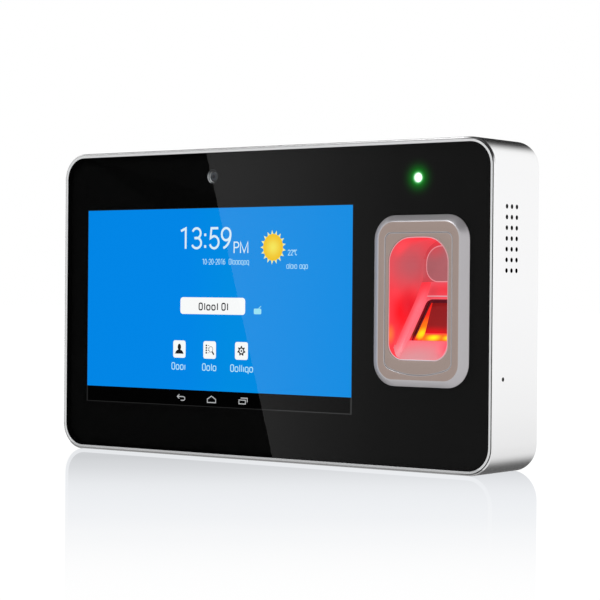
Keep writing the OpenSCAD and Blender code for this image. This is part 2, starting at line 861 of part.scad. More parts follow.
module wall_plate() {
    rim = 1.5;
    slot_r = 4;
    height = plate_z[1] - plate_z[0];
    mid_z = (plate_z[0] + plate_z[1]) / 2;
    color("#c3c7ca") placed() difference() {
        union() {
            sheet(plate_y) rounded_at(0, mid_z, plate_w, height, 4);
            sheet([plate_y[0], body_d]) difference() {
                rounded_at(0, mid_z, plate_w, height, 4);
                rounded_at(0, mid_z, plate_w - 2 * rim, height - 2 * rim, 2.5);
            }
            for (side = [-1, 1], z = wall_hole_z) pin_y(side * wall_hole_x, z, 6, [plate_y[0], body_d]);
        }
        for (side = [-1, 1], z = wall_hole_z)
            pin_y(side * wall_hole_x, z, wall_hole_r, [plate_y[0] - 1, body_d + 1]);
        // keyholes: the studs rest in the narrow slot, and lift into the round end
        for (side = [-1, 1]) {
            pin_y(side * stud_x, stud_z, stud_r + 0.3, [plate_y[0] - 1, body_d - 1]);
            pin_y(side * stud_x, stud_z + lift_travel, 4.6, [plate_y[0] - 1, body_d - 1]);
            block([side * stud_x - stud_r - 0.3, plate_y[0] - 1, stud_z],
                  [side * stud_x + stud_r + 0.3, body_d - 1, stud_z + lift_travel]);
        }
        // the cables' notch, and the slot that the tamper plunger moves in
        block([-plate_notch_w / 2, plate_y[0] - 1, plate_z[0] - 1],
              [plate_notch_w / 2, body_d + 1, plate_notch_top]);
        pin_y(tamper_x, tamper_z, slot_r, [plate_y[0] - 1, body_d]);
        pin_y(tamper_x, tamper_z + lift_travel, slot_r, [plate_y[0] - 1, body_d]);
        block([tamper_x - slot_r, plate_y[0] - 1, tamper_z],
              [tamper_x + slot_r, body_d, tamper_z + lift_travel]);
    }
}

shell();
front_ring();
front_glass();
ink_mask();
glass_gasket();
mid_frame();
frame_screws();
lcd_frame();
lcd_panel();
backlight();
lcd_flex();
touch_flex();
camera_barrel();
camera_lens();
camera_board();
light_pipe();
status_led();
led_board();
fp_bezel();
fp_inlay();
fp_guide();
fp_prism();
fp_leds();
fp_led_board();
fp_lens();
fp_sensor_board();
fp_housing();
fp_gasket();
fp_screws();
main_board();
board_screws();
processor();
shield_can();
memory_chips();
inductors();
capacitors();
relay();
coin_cell();
radio_antenna();
ethernet_jack();
usb_port();
dc_jack();
terminal_block();
battery();
speaker_frame();
speaker_cone();
speaker_gasket();
speaker_mesh();
reset_board();
reset_switch();
reset_plunger();
back_cover();
cover_screws();
hanger_studs();
tamper_switch();
tamper_plunger();
tamper_spring();
wall_plate();
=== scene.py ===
import json
import math

import bmesh
import bpy
from mathutils import Matrix, Vector


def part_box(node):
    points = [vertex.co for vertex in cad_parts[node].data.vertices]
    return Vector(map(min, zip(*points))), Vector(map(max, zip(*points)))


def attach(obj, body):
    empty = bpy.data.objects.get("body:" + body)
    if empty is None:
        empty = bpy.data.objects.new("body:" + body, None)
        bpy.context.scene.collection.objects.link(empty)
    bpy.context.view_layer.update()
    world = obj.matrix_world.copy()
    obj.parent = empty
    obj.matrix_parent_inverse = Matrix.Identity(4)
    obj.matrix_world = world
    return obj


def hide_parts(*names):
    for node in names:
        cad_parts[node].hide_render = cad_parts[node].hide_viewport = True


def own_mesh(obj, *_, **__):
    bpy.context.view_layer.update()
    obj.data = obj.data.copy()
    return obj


# Looks of the fingerprint scanner terminal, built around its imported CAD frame. The pieces are
# drawn in millimetres: x to the right, depth back from the front ring's plane, z up.

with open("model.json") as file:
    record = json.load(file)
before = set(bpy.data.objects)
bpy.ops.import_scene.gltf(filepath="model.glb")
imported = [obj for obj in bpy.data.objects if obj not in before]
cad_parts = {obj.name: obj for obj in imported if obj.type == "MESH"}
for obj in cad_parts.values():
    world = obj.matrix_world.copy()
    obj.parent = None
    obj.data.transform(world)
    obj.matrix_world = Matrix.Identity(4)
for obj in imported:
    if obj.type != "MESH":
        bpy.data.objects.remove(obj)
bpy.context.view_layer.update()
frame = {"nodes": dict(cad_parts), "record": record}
NODES = frame["nodes"]
MM = 0.001


# ---------- places, from the frame ----------

OFFSET = (0.0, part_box("front_ring")[0].y / MM, 0.0)


def node_box(name):
    """A node's (x, depth, z) ranges in millimetres."""
    low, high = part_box(name)
    return [(low[i] / MM - OFFSET[i], high[i] / MM - OFFSET[i]) for i in range(3)]


def middle(pair):
    return (pair[0] + pair[1]) / 2


def row_point(x, depth, z):
    """A point in the row frame, in metres."""
    return Vector((x, depth + OFFSET[1], z)) * MM


BODY_X, BODY_DEPTH, BODY_Z = node_box("shell")
GLASS_X, GLASS_DEPTH, GLASS_Z = node_box("front_glass")
PANEL_X, PANEL_DEPTH, PANEL_Z = node_box("lcd_panel")
BEZEL_X, BEZEL_DEPTH, BEZEL_Z = node_box("fp_bezel")
INLAY_DEPTH, INLAY_Z = node_box("fp_inlay")[1:]
LED_X, LED_DEPTH, LED_Z = node_box("light_pipe")
LENS_X, LENS_DEPTH, LENS_Z = node_box("camera_lens")
RIM_X, RIM_DEPTH, RIM_Z = node_box("camera_barrel")
GLASS_R, BODY_R = 10.3, 12.0
READER_X = middle(BEZEL_X)
DISPLAY_AT = (middle(PANEL_X), middle(PANEL_Z))
DISPLAY_W, DISPLAY_H = 153.6, 90.0
PIXEL = 0.3 * MM
BAR_H = 7.3
EDGE_LINE, BAR_END_LINE = 0.35, 0.75
HALO_R = 9.0


# ---------- materials ----------

def rgb(colour):
    """A colour as three numbers. One number stands for a grey."""
    return (colour,) * 3 if isinstance(colour, (int, float)) else colour


class Look:
    """A node material. Inputs take values or other nodes' outputs, and a colour may be one grey level."""

    def __init__(self, name):
        self.material = bpy.data.materials.new(name)
        self.material.use_nodes = True
        self.tree = self.material.node_tree
        self.tree.nodes.clear()
        self.output = self.tree.nodes.new("ShaderNodeOutputMaterial")
        self.coords = self.add("TexCoord", out="Object")

    def add(self, kind, inputs=None, out=0, **settings):
        """Makes a shader node, and gives one of its outputs."""
        node = self.tree.nodes.new("ShaderNode" + kind)
        for key, value in settings.items():
            setattr(node, key, value)
        for key, value in (inputs or {}).items():
            socket = node.inputs[key]
            if isinstance(value, bpy.types.NodeSocket):
                self.tree.links.new(value, socket)
            else:
                socket.default_value = (*rgb(value), 1.0) if socket.type == "RGBA" else value
        return node.outputs[out]

    def noise(self, scale, detail=3.0, roughness=0.5, vector=None):
        inputs = {"Vector": vector or self.coords, "Scale": scale, "Detail": detail, "Roughness": roughness}
        return self.add("TexNoise", inputs)

    def cells(self, scale):
        return self.add("TexVoronoi", {"Vector": self.coords, "Scale": scale})

    def pixels(self, first, second):
        return self.add("TexChecker", {"Vector": self.coords, "Scale": 1.0 / PIXEL, "Color1": first, "Color2": second})

    def ramp(self, factor, *stops):
        """A colour ramp over a factor: stops are (place, colour) pairs."""
        node = self.add("ValToRGB", {"Fac": factor}).node
        elements = node.color_ramp.elements
        while len(elements) < len(stops):
            elements.new(0.5)
        for element, (place, colour) in zip(elements, stops):
            element.position = place
            element.color = (*rgb(colour), 1.0)
        return node.outputs["Color"]

    def span(self, value, low, high, to=(0.0, 1.0), kind="LINEAR"):
        """How far a value is from low to high, as a number in the range of to."""
        limits = {"Value": value, "From Min": low, "From Max": high, "To Min": to[0], "To Max": to[1]}
        return self.add("MapRange", limits, interpolation_type=kind)

    def between(self, factor, low, high):
        return self.span(factor, 0.0, 1.0, (low, high))

    def math(self, operation, *values):
        return self.add("Math", dict(enumerate(values)), operation=operation)

    def times(self, a, b):
        return self.math("MULTIPLY", a, b)

    def above(self, value, limit):
        return self.math("GREATER_THAN", value, limit)

    def below(self, value, limit):
        return self.math("LESS_THAN", value, limit)

    def within(self, value, low, high):
        return self.times(self.above(value, low), self.below(value, high))

    def vector(self, operation, *values, out="Vector"):
        return self.add("VectorMath", dict(enumerate(values)), out, operation=operation)

    def axis(self, letter, of=None):
        return self.add("SeparateXYZ", {"Vector": of or self.coords}, letter)

    def mix(self, factor, a, b):
        return self.add("Mix", {"Factor": factor, 6: a, 7: b}, 2, data_type="RGBA")

    def blob(self, centre, radius, squash=(1.0, 1.0, 1.0)):
        """1 at a point in the row frame, falling smoothly to 0 at the radius in millimetres."""
        scaled = self.vector("MULTIPLY", self.vector("ADD", self.coords, [-c for c in centre]), squash)
        length = self.vector("LENGTH", scaled, out="Value")
        return self.span(length, 0.0, radius * MM, (1.0, 0.0), "SMOOTHSTEP")

    def near_outline(self, margin, across=GLASS_X, up=GLASS_Z, corner_r=GLASS_R):
        """1 within a margin in millimetres of a rounded outline, the glass's unless another is given."""
        half = Vector((across[1] - across[0], 0, up[1] - up[0])) * MM / 2
        r = corner_r * MM
        shifted = self.vector("SUBTRACT", self.coords, row_point(middle(across), 0, middle(up)))
        beyond = self.vector("SUBTRACT", self.vector("ABSOLUTE", shifted), (half.x - r, 1.0, half.z - r))
        length = self.vector("LENGTH", self.vector("MAXIMUM", beyond, (0, 0, 0)), out="Value")
        return self.above(length, r - margin * MM)

    def towards_camera(self, low, high):
        """How far a place on the floor lies in front of the terminal."""
        to_camera = Vector((CAMERA_AT.x, CAMERA_AT.y, 0)).normalized()
        return self.span(self.vector("DOT_PRODUCT", self.coords, to_camera, out="Value"), low, high)

    def bump(self, height, strength):
        return self.add("Bump", {"Height": height, "Strength": strength, "Distance": 0.0001})

    def emission(self, colour, strength=1.0):
        return self.add("Emission", {"Color": colour, "Strength": strength})

    def blend(self, factor, a, b):
        return self.add("MixShader", {0: factor, 1: a, 2: b})

    def principled(self, **inputs):
        return self.add("BsdfPrincipled", {key.replace("_", " "): value for key, value in inputs.items()})

    def done(self, shader):
        self.tree.links.new(shader, self.output.inputs["Surface"])
        return self.material

    def surface(self, base, rough, fine=None, relief=None, **inputs):
        """Finishes the material. A pair of roughnesses varies with a fine pattern, and relief is its bump."""
        if fine:
            rough = self.between(fine, *rough)
        if relief:
            inputs["Normal"] = self.bump(fine, relief)
        return self.done(self.principled(Base_Color=base, Roughness=rough, **inputs))

    def screen(self, colour, base):
        """A lit surface without gloss."""
        return self.surface(base, 0.5, Specular_IOR_Level=0.0, Emission_Color=colour, Emission_Strength=1.0)


def shade(colour, amount):
    return tuple(max(0.0, min(1.0, c * amount)) for c in colour)


def srgb(r, g, b):
    """A linear colour from display values of 0 to 255."""
    return tuple((c / 255 / 12.92) if c <= 10 else ((c / 255 + 0.055) / 1.055) ** 2.4 for c in (r, g, b))


def metal(name, colour, rough, grain=2500.0, relief=0.05, spread=0.08, metallic=1.0, stretch=(1.0, 1.0, 1.0)):
    """A metal with fine grain: colour and roughness vary with it, and it has a slight relief."""
    look = Look(name)
    fine = look.noise(grain, 4.0, 0.6, look.add("Mapping", {"Vector": look.coords, "Scale": stretch}))
    mixed = look.math("ADD", look.times(fine, 0.65), look.times(look.noise(35.0, 2.0), 0.35))
    base = look.ramp(mixed, (0.25, shade(colour, 1 - spread)), (0.75, shade(colour, 1 + spread * 0.5)))
    return look.surface(base, (rough - 0.05, rough + 0.05), fine, relief, Metallic=metallic)


def plastic(name, colour, rough, grain=1800.0, relief=0.25, spread=0.25, coat=0.0, cellular=False):
    """A moulded plastic or rubber with a spark-eroded or cellular texture."""
    look = Look(name)
    fine = look.cells(grain) if cellular else look.noise(grain, 3.0, 0.55)
    base = look.ramp(look.noise(60.0, 3.0), (0.3, shade(colour, 1 - spread)), (0.7, shade(colour, 1 + spread)))
    return look.surface(base, (rough - 0.06, rough + 0.08), fine, relief, Coat_Weight=coat)


def circuit_board(name):
    look = Look(name)
    tracks = look.add("TexBrick", {"Vector": look.coords, "Scale": 260.0, "Mortar Size": 0.06,
                                   "Color1": (0.012, 0.13, 0.06), "Color2": (0.016, 0.17, 0.075),
                                   "Mortar": (0.03, 0.24, 0.11)})
    pads = look.ramp(look.cells(420.0), (0.0, 1), (0.13, 1), (0.15, 0))
    return look.surface(look.mix(pads, tracks, (0.52, 0.50, 0.42)), (0.3, 0.5), look.noise(900.0, 3.0),
                        Normal=look.bump(pads, 0.2))


def flat_cable(name):
    look = Look(name)
    lines = look.add("TexWave", {"Vector": look.coords, "Scale": 330.0, "Distortion": 0.0}, "Fac")
    return look.surface(look.ramp(lines, (0.35, (0.42, 0.17, 0.025)), (0.6, (0.66, 0.36, 0.09))), (0.28, 0.42),
                        look.noise(500.0), Normal=look.bump(lines, 0.15))


def cover_glass(name):
    """A thin sheet: what lies behind shows through, the front face reflects, and the edges are blackened."""
    look = Look(name)
    backfacing = look.add("NewGeometry", out="Backfacing")
    across = look.axis("Y", look.add("NewGeometry", out="True Normal"))
    edge = look.math("MAXIMUM", look.below(look.math("ABSOLUTE", across), 0.5),
                     look.times(look.near_outline(0.9), backfacing))
    smear = look.noise(45.0, 2.0)
    mirror = look.add("BsdfGlossy", {"Color": 1, "Roughness": look.between(smear, 0.0, 0.012)})
    clear = look.add("BsdfTransparent", {"Color": (0.97, 0.98, 0.98)})
    gloss = look.times(look.add("Fresnel", {"IOR": 1.5}), look.math("SUBTRACT", 1.0, backfacing))
    # The glass's side faces and the back of its border are made near black.
    ink = look.principled(Base_Color=look.ramp(smear, (0.2, (0.001, 0.001, 0.0012)), (0.8, (0.002, 0.002, 0.0022))),
                          Roughness=0.6, Specular_IOR_Level=0.0)
    return look.done(look.blend(edge, look.blend(gloss, clear, mirror), ink))


def clear_part(name, colour, roughness):
    """A small moulded lens or light pipe, tinted by its colour."""
    look = Look(name)
    fine = look.noise(700.0)
    gloss = look.add("BsdfGlossy", {"Color": 1, "Roughness": look.between(fine, roughness, roughness * 2)})
    body = look.principled(Base_Color=look.ramp(fine, (0.3, shade(colour, 0.9)), (0.7, colour)), Roughness=0.1,
                           Transmission_Weight=0.9)
    return look.done(look.blend(look.add("Fresnel", {"IOR": 1.5}), body, gloss))


def black_print(name):
    """Black ink behind the glass, with a painted green glow round the status light: emission on the ink that stands in
    for light scattered in the glass.
    """
    look = Look(name)
    centre = row_point(middle(LED_X), 0, middle(LED_Z))
    centre.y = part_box("ink_mask")[0].y
    # Painted glow: the ink emits green round the status light, fading to nothing at HALO_R.
    reach = look.span(look.vector("DISTANCE", look.coords, centre, out="Value"), 0.0, HALO_R * MM)
    halo = [(0.0, 1), (1.75, 1), (2.05, (0.35, 0.85, 0.42)), (2.4, (0.05, 0.36, 0.08)), (3.0, (0.004, 0.19, 0.012)),
            (3.6, (0.0, 0.115, 0.004)), (4.3, (0.0, 0.070, 0.003)), (5.2, (0.0, 0.036, 0.002)),
            (6.2, (0.0, 0.014, 0.001)), (7.6, (0.0, 0.003, 0.0)), (8.8, 0)]
    fine = look.noise(4000.0, 2.0)
    return look.surface(look.ramp(fine, (0.3, 0.0018), (0.7, 0.0026)), (0.4, 0.6), fine, Specular_IOR_Level=0.0,
                        Emission_Strength=1.0,
                        Emission_Color=look.ramp(reach, *[(r / HALO_R, colour) for r, colour in halo]))


def display_glow(name):
    """The lit panel: a blue field above a dark bar, with a thin grey line at the very edge."""
    look = Look(name)
    across, up = look.axis("X"), look.axis("Z")
    field = look.above(up, (DISPLAY_AT[1] - DISPLAY_H / 2 + BAR_H) * MM)
    blue = look.mix(look.span(across, -0.045, -0.02), look.pixels((0.0, 0.262, 0.868), (0.0, 0.256, 0.852)),
                    (0.0, 0.282, 0.822))
    side, rise = (look.math("ABSOLUTE", look.math("SUBTRACT", place, centre * MM))
                  for place, centre in zip((across, up), DISPLAY_AT))
    ends = look.math("ADD", look.times(field, (BAR_END_LINE - EDGE_LINE) * MM), (DISPLAY_W / 2 - BAR_END_LINE) * MM)
    inside = look.times(look.below(side, ends), look.below(rise, (DISPLAY_H / 2 - EDGE_LINE) * MM))
    bar_line = look.mix(look.span(across, -0.005, 0.011), 0.016, 0.048)
    return look.screen(look.mix(inside, look.mix(field, bar_line, 0.010), look.mix(field, 0, blue)), 0.0003)


def picture(name, colour, centre=None, tint=None, radius=10.0):
    """A lit part of the display's picture, with the pixels' fine grain and an optional tint round a centre."""
    look = Look(name)
    lit = look.pixels(colour, shade(colour, 0.975))
    if centre:
        lit = look.mix(look.blob(centre, radius), lit, tint)
    return look.screen(lit, 0.002)


def lit_led(name, core, rim, centre, radius, strength):
    look = Look(name)
    return look.surface(shade(rim, 0.4), 0.3, Emission_Strength=strength,
                        Emission_Color=look.mix(look.blob(centre, radius), rim, core))


def glowing(name, base, *patches, gloss=0.35, relief=0.06, emit=0.72, side=None):
    """Translucent red plastic lit from inside, as painted light: a base colour with soft patches of other colours,
    which are painted glow, highlights, reflections and shade.

    A patch is a colour, a centre counted from the reader's middle, a radius and, if it isn't round, a squash.
    Side is a (colour, from x, to x): the base colour comes from that one over the range of x.
    """
    look = Look(name)
    lit = look.ramp(look.noise(120.0, 2.0), (0.2, shade(base, 0.93)), (0.8, shade(base, 1.07)))
    if side:
        limits = [(READER_X + x) * MM for x in side[1:]]
        lit = look.mix(look.span(look.axis("X"), *limits), side[0], lit)
    for colour, (x, depth, z), *extent in patches:
        lit = look.mix(look.blob(row_point(READER_X + x, depth, z), *extent), lit, colour)
    fine = look.noise(1500.0, 3.0)
    # The painted colours are emitted too: a painted glow.
    return look.surface(look.mix(0.62, lit, (0.02, 0.002, 0.002)), (gloss - 0.08, gloss + 0.08), fine, relief,
                        Emission_Color=lit, Emission_Strength=emit)


def metallic_paint(name, colour, metallic, rough):
    """Metallic paint with fine flakes."""
    look = Look(name)
    fine = look.noise(5000.0, 2.0)
    base = look.ramp(look.cells(9000.0), (0.1, shade(colour, 1.06)), (0.6, shade(colour, 0.95)))
    return look.surface(base, (rough, rough + 0.1), fine, 0.03, Metallic=metallic)


# ---------- mesh helpers ----------

def add_object(name, data):
    thing = bpy.data.objects.new(name, data)
    bpy.context.scene.collection.objects.link(thing)
    return thing


def build(name, points, faces, materials, kinds=None, angle=30.0):
    """A mesh object from (x, depth, z) points in millimetres; kinds gives each face's material."""
    mesh = bpy.data.meshes.new(name)
    mesh.from_pydata([row_point(*p) for p in points], [], faces)
    for material in materials:
        mesh.materials.append(material)
    if kinds:
        mesh.polygons.foreach_set("material_index", kinds)
    work = bmesh.new()
    work.from_mesh(mesh)
    bmesh.ops.remove_doubles(work, verts=work.verts, dist=1e-7)
    bmesh.ops.recalc_face_normals(work, faces=work.faces)
    work.to_mesh(mesh)
    work.free()
    mesh.polygons.foreach_set("use_smooth", [True] * len(mesh.polygons))
    mesh.set_sharp_from_angle(angle=math.radians(angle))
    return add_object(name, mesh)


def piece(thing, slot, *replaced):
    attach(thing, "terminal")
    if replaced:
        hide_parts(*replaced)
    return thing


def outline(half_w, low, high, top_r, foot_r, rise=0.0, drop=0.0, arc=10, edge=14):
    """Points (x, z) round an upright rounded rectangle, counter-clockwise from its right side.

    Its top edge is bowed up by rise in the middle, and its foot edge down by drop.
    """
    mid, half_h = (low + high) / 2, (high - low) / 2

    def corner_point(index, quarters):
        right, up, r = ((1, 1, top_r), (-1, 1, top_r), (-1, -1, foot_r), (1, -1, foot_r))[index % 4]
        turn = math.radians(90 * quarters)
        return (right * (half_w - r) + r * math.cos(turn), (high - r if up > 0 else low + r) + r * math.sin(turn))

    points = []
    for index in range(4):
        points += [corner_point(index, index + step / arc) for step in range(arc + 1)]
        last, following = points[-1], corner_point(index + 1, index + 1)
        for t in (step / edge for step in range(1, edge)):
            points.append((last[0] + (following[0] - last[0]) * t, last[1] + (following[1] - last[1]) * t))
    bowed = []
    for x, z in points:
        reach = (z - mid) / half_h
        bow = -rise * reach if reach > 0 else -drop * reach
        bowed.append((x, z + bow * (x / half_w) ** 2))
    return bowed


def band(first, second):
    """Quads between two closed loops of point indices."""
    count = len(first)
    return [(first[k], first[(k + 1) % count], second[(k + 1) % count], second[k]) for k in range(count)]


def grid_faces(width, height, start=0):
    """Quads over rows of points, where the first point has the index start."""
    corners = (start + j * width + i for j in range(height - 1) for i in range(width - 1))
    return [(k, k + 1, k + width + 1, k + width) for k in corners]


def grid_points(corners, across, up):
    """Points over a four-cornered sheet: foot left, foot right, top right, top left."""
    a, b, c, d = (Vector(p) for p in corners)
    points = []
    for v in range(up + 1):
        left, right = a.lerp(d, v / up), b.lerp(c, v / up)
        points += [tuple(left.lerp(right, u / across)) for u in range(across + 1)]
    return points


def lofted(name, rings, materials, kinds=None, angle=30.0, closed=False):
    """A body over rings of points. Its end rings are filled, or joined to each other if it is closed."""
    count, total = len(rings[0]), len(rings)
    loops = [range(i * count, (i + 1) * count) for i in range(total)]
    joined = range(total if closed else total - 1)
    faces = [face for i in joined for face in band(loops[i], loops[(i + 1) % total])]
    face_kinds = [kinds[i] if kinds else 0 for i in joined for _ in range(count)]
    if not closed:
        faces += [tuple(loops[0]), tuple(loops[-1])]
        face_kinds += [kinds[0], kinds[-1]] if kinds else [0, 0]
    return build(name, [p for ring in rings for p in ring], faces, materials, face_kinds, angle)


def lathe(name, profile, centre, materials, kinds=None, steps=40):
    """A turned part round an axis along the depth: profile points are (radius, depth)."""
    turns = [2 * math.pi * k / steps for k in range(steps)]
    rings = [[(centre[0] + r * math.cos(turn), depth, centre[1] + r * math.sin(turn)) for turn in turns]
             for r, depth in profile]
    return lofted(name, rings, materials, kinds)


def fillet(steps, start, end, bend):
    """Points of a curve from start to end that leaves and arrives along its corner point bend."""
    return [tuple((1 - t) ** 2 * a + 2 * t * (1 - t) * b + t * t * c for a, b, c in zip(start, bend, end))
            for t in (step / steps for step in range(steps + 1))]


# ---------- finger reader ----------

SEAM_HALF_W, SEAM_TOP_R, SEAM_FOOT_R, SEAM_DROP, SEAM_GAP = 16.65, 3.0, 2.4, 3.4, 0.15
WINDOW_HALF_W, WINDOW_LOW, WINDOW_HIGH, WINDOW_RISE = 14.3, 47.3, 97.7, 1.3
WINDOW_TOP_R, WINDOW_FOOT_R = 9.2, 6.5
WINDOW_MID, WINDOW_HALF_H = (WINDOW_LOW + WINDOW_HIGH) / 2, (WINDOW_HIGH - WINDOW_LOW) / 2
SIDE_BEVEL, END_BEVEL = 3.4, 2.65
NECK_INSET = 1.8
RAMP_START, RAMP_SLOPE = -1.8, math.tan(math.radians(39.5))
BACK_WALL = 23.5
RAIL_EDGE, RIGHT_RAIL_EDGE, RAIL_RISE, RAIL_BEVEL = 9.5, 10.9, 1.3, 0.9
CELL_HALF_W, CELL_RIGHT, CELL_CORNER_R, CELL_SINK = 8.4, 10.4, 2.0, 2.0
CELL_Z = (54.9, 72.2)
RIDGE_Z = (73.3, 73.8)
RIDGE_RISE = 0.45
RAIL_END = (76.0, 82.0)
STOP_HALF_W, STOP_Z, STOP_TOP_R, STOP_FOOT_R = 11.9, (79.5, 95.2), 7.6, 6.0


def reader_ring(depth, *shape, **bows):
    return [(x + READER_X, depth, z) for x, z in outline(*shape, **bows)]


def seam_ring(depth, grow=0.0):
    return reader_ring(depth, SEAM_HALF_W + grow, INLAY_Z[0] - SEAM_GAP - grow, INLAY_Z[1] + SEAM_GAP + grow,
                       SEAM_TOP_R + grow, SEAM_FOOT_R + grow, drop=SEAM_DROP)


def bezel_ring(depth, share, r):
    """A ring round the bezel: share 0 is its outer edge, and 1 its top face's edge."""
    side, end = share * SIDE_BEVEL, share * END_BEVEL
    return reader_ring(depth, (BEZEL_X[1] - BEZEL_X[0]) / 2 - side, BEZEL_Z[0] + end, BEZEL_Z[1] - end, r, r)


def window_ring(depth, grow=0.0):
    return reader_ring(depth, WINDOW_HALF_W + grow, WINDOW_LOW - grow, WINDOW_HIGH + grow, WINDOW_TOP_R + grow,
                       WINDOW_FOOT_R + grow, rise=WINDOW_RISE)


def stop_ring(grow, depth):
    return reader_ring(depth, STOP_HALF_W + grow, STOP_Z[0] - grow, STOP_Z[1] + grow, STOP_TOP_R + grow,
                       STOP_FOOT_R + grow)


def reader_bezel(paint, bevel_paint):
    """The bevelled surround, with rounded edges and a chamfered seam."""
    (proud, back), glass, neck = BEZEL_DEPTH, GLASS_DEPTH[0], NECK_INSET / SIDE_BEVEL
    rings = [bezel_ring(glass, 0.0, 10.5), bezel_ring(-0.1, 0.0, 10.5), bezel_ring(-0.2, 0.03, 10.4)]
    edge = fillet(6, (0.84, -2.17), (1.22, proud), (1.03, proud))
    rings += [bezel_ring(depth, share, 10.5 - 3.1 * share) for share, depth in edge]
    rings += [seam_ring(proud, 0.28), seam_ring(proud + 0.05, 0.1), seam_ring(proud + 0.2, 0.0)]
    rings += [seam_ring(back, 0.0), bezel_ring(back, neck, 8.7), bezel_ring(glass, neck, 8.7)]
    kinds = [1] * 7 + [0] * 3 + [1] * 2 + [0] * 4
    return lofted("reader_bezel", rings, [paint, bevel_paint], kinds, 40, closed=True)


def reader_inlay(paint, bevel_paint):
    """The flush plate round the finger's window."""
    top, back = INLAY_DEPTH
    rings = [seam_ring(back, -0.15), seam_ring(top + 0.9, -0.05), seam_ring(top + 0.18, -0.05),
             seam_ring(top + 0.04, -0.14), seam_ring(top, -0.34),
             window_ring(top, 1.0), window_ring(top + 0.05, 0.78), window_ring(top + 0.2, 0.66),
             window_ring(-1.15, 0.66), window_ring(-1.15, 1.8), window_ring(back, 1.8)]
    return lofted("reader_inlay", rings, [paint, bevel_paint], [0, 0, 1, 1] + [0] * 7, 40, closed=True)


def smooth_step(value, low, high):
    t = max(0.0, min(1.0, (value - low) / (high - low)))
    return t * t * (3 - 2 * t)


def pocket_depth(x, z):
    """Depth of the pocket's floor: the ramp, its two rails, the ridge over the prism and the back wall."""
    ramp = RAMP_START + (z - WINDOW_LOW) * RAMP_SLOPE
    blend = 2.5
    gap = (ramp - BACK_WALL) / blend
    floor = BACK_WALL - blend * math.log1p(math.exp(-gap)) if abs(gap) < 20 else min(ramp, BACK_WALL)
    fade = (1 - smooth_step(z, *RAIL_END)) * smooth_step(z, WINDOW_LOW - 1.0, WINDOW_LOW + 11.0)
    edge = RAIL_EDGE if x < 0 else RIGHT_RAIL_EDGE
    rail = RAIL_RISE * smooth_step(abs(x), edge, edge + RAIL_BEVEL) * fade
    ridge = RIDGE_RISE * (1 - smooth_step(z, *RIDGE_Z)) * (1 - smooth_step(abs(x), RAIL_EDGE - 0.4, RAIL_EDGE))
    return floor - rail - ridge


def pocket_rows():
    """Rows (half width, z) of the window's outline, from its foot to its top."""
    foot_r, top_r = WINDOW_FOOT_R, WINDOW_TOP_R
    rows = [(WINDOW_HALF_W - foot_r + foot_r * math.sin(turn), WINDOW_LOW + foot_r * (1 - math.cos(turn)))
            for turn in (math.radians(90 * step / 12) for step in range(12))]
    stops = [WINDOW_LOW + foot_r, *CELL_Z, *RIDGE_Z, *RAIL_END, WINDOW_HIGH - top_r]
    for low, high in zip(stops, stops[1:]):
        steps = max(2, round((high - low) / 0.8))
        rows += [(WINDOW_HALF_W, low + (high - low) * step / steps) for step in range(steps)]
    return rows + [(WINDOW_HALF_W - top_r + top_r * math.cos(turn), WINDOW_HIGH - top_r + top_r * math.sin(turn))
                   for turn in (math.radians(90 * step / 16) for step in range(17))]


def pocket_columns():
    """Shares of the half width, closer together at the walls, the rails and the prism's opening."""
    def side(cell, rail):
        shares = [cell * step / 6 for step in range(7)] + [rail + RAIL_BEVEL * step / 6 for step in range(7)]
        room = WINDOW_HALF_W - shares[-1]
        return [x / WINDOW_HALF_W for x in shares + [shares[-1] + room * t for t in (0.25, 0.5, 0.7, 0.85, 0.95, 1.0)]]

    left = side(CELL_HALF_W, RAIL_EDGE)
    return [-share for share in reversed(left[1:])] + side(CELL_RIGHT, RIGHT_RAIL_EDGE)


# The guide's surfaces, in the order of guide_looks.
LIP, WALL, RAIL, RAMP, BACK, RECESS, RIM, PAD = range(8)


def pocket_point(x, z):
    """A point of the pocket's floor, bowed with the window's top and rounded at the opening's corner."""
    reach = max(0.0, (z - WINDOW_MID) / WINDOW_HALF_H)
    bowed = z - WINDOW_RISE * reach * (x / WINDOW_HALF_W) ** 2
    near_wall = 1.2 * (1 - smooth_step(WINDOW_HALF_W - abs(x), 0.0, 1.2)) ** 2
    corner = bowed - (CELL_Z[1] - CELL_CORNER_R)
    if abs(x + CELL_HALF_W) < 0.01 and 0 < corner < CELL_CORNER_R + 0.01:
        x += CELL_CORNER_R - math.sqrt(max(0.0, CELL_CORNER_R ** 2 - corner ** 2))
    return (READER_X + x, pocket_depth(x, bowed) - near_wall, bowed)


def pocket_surface(x, z):
    """Which of the guide's surfaces the pocket's floor shows at a place."""
    on_rail = x < -RAIL_EDGE or x > RIGHT_RAIL_EDGE
    if abs(x) > WINDOW_HALF_W - 0.5:
        return WALL
    if RIDGE_Z[0] < z < RIDGE_Z[1] and not on_rail:
        return RIM
    return BACK if z >= 80.0 else RAIL if on_rail else RAMP


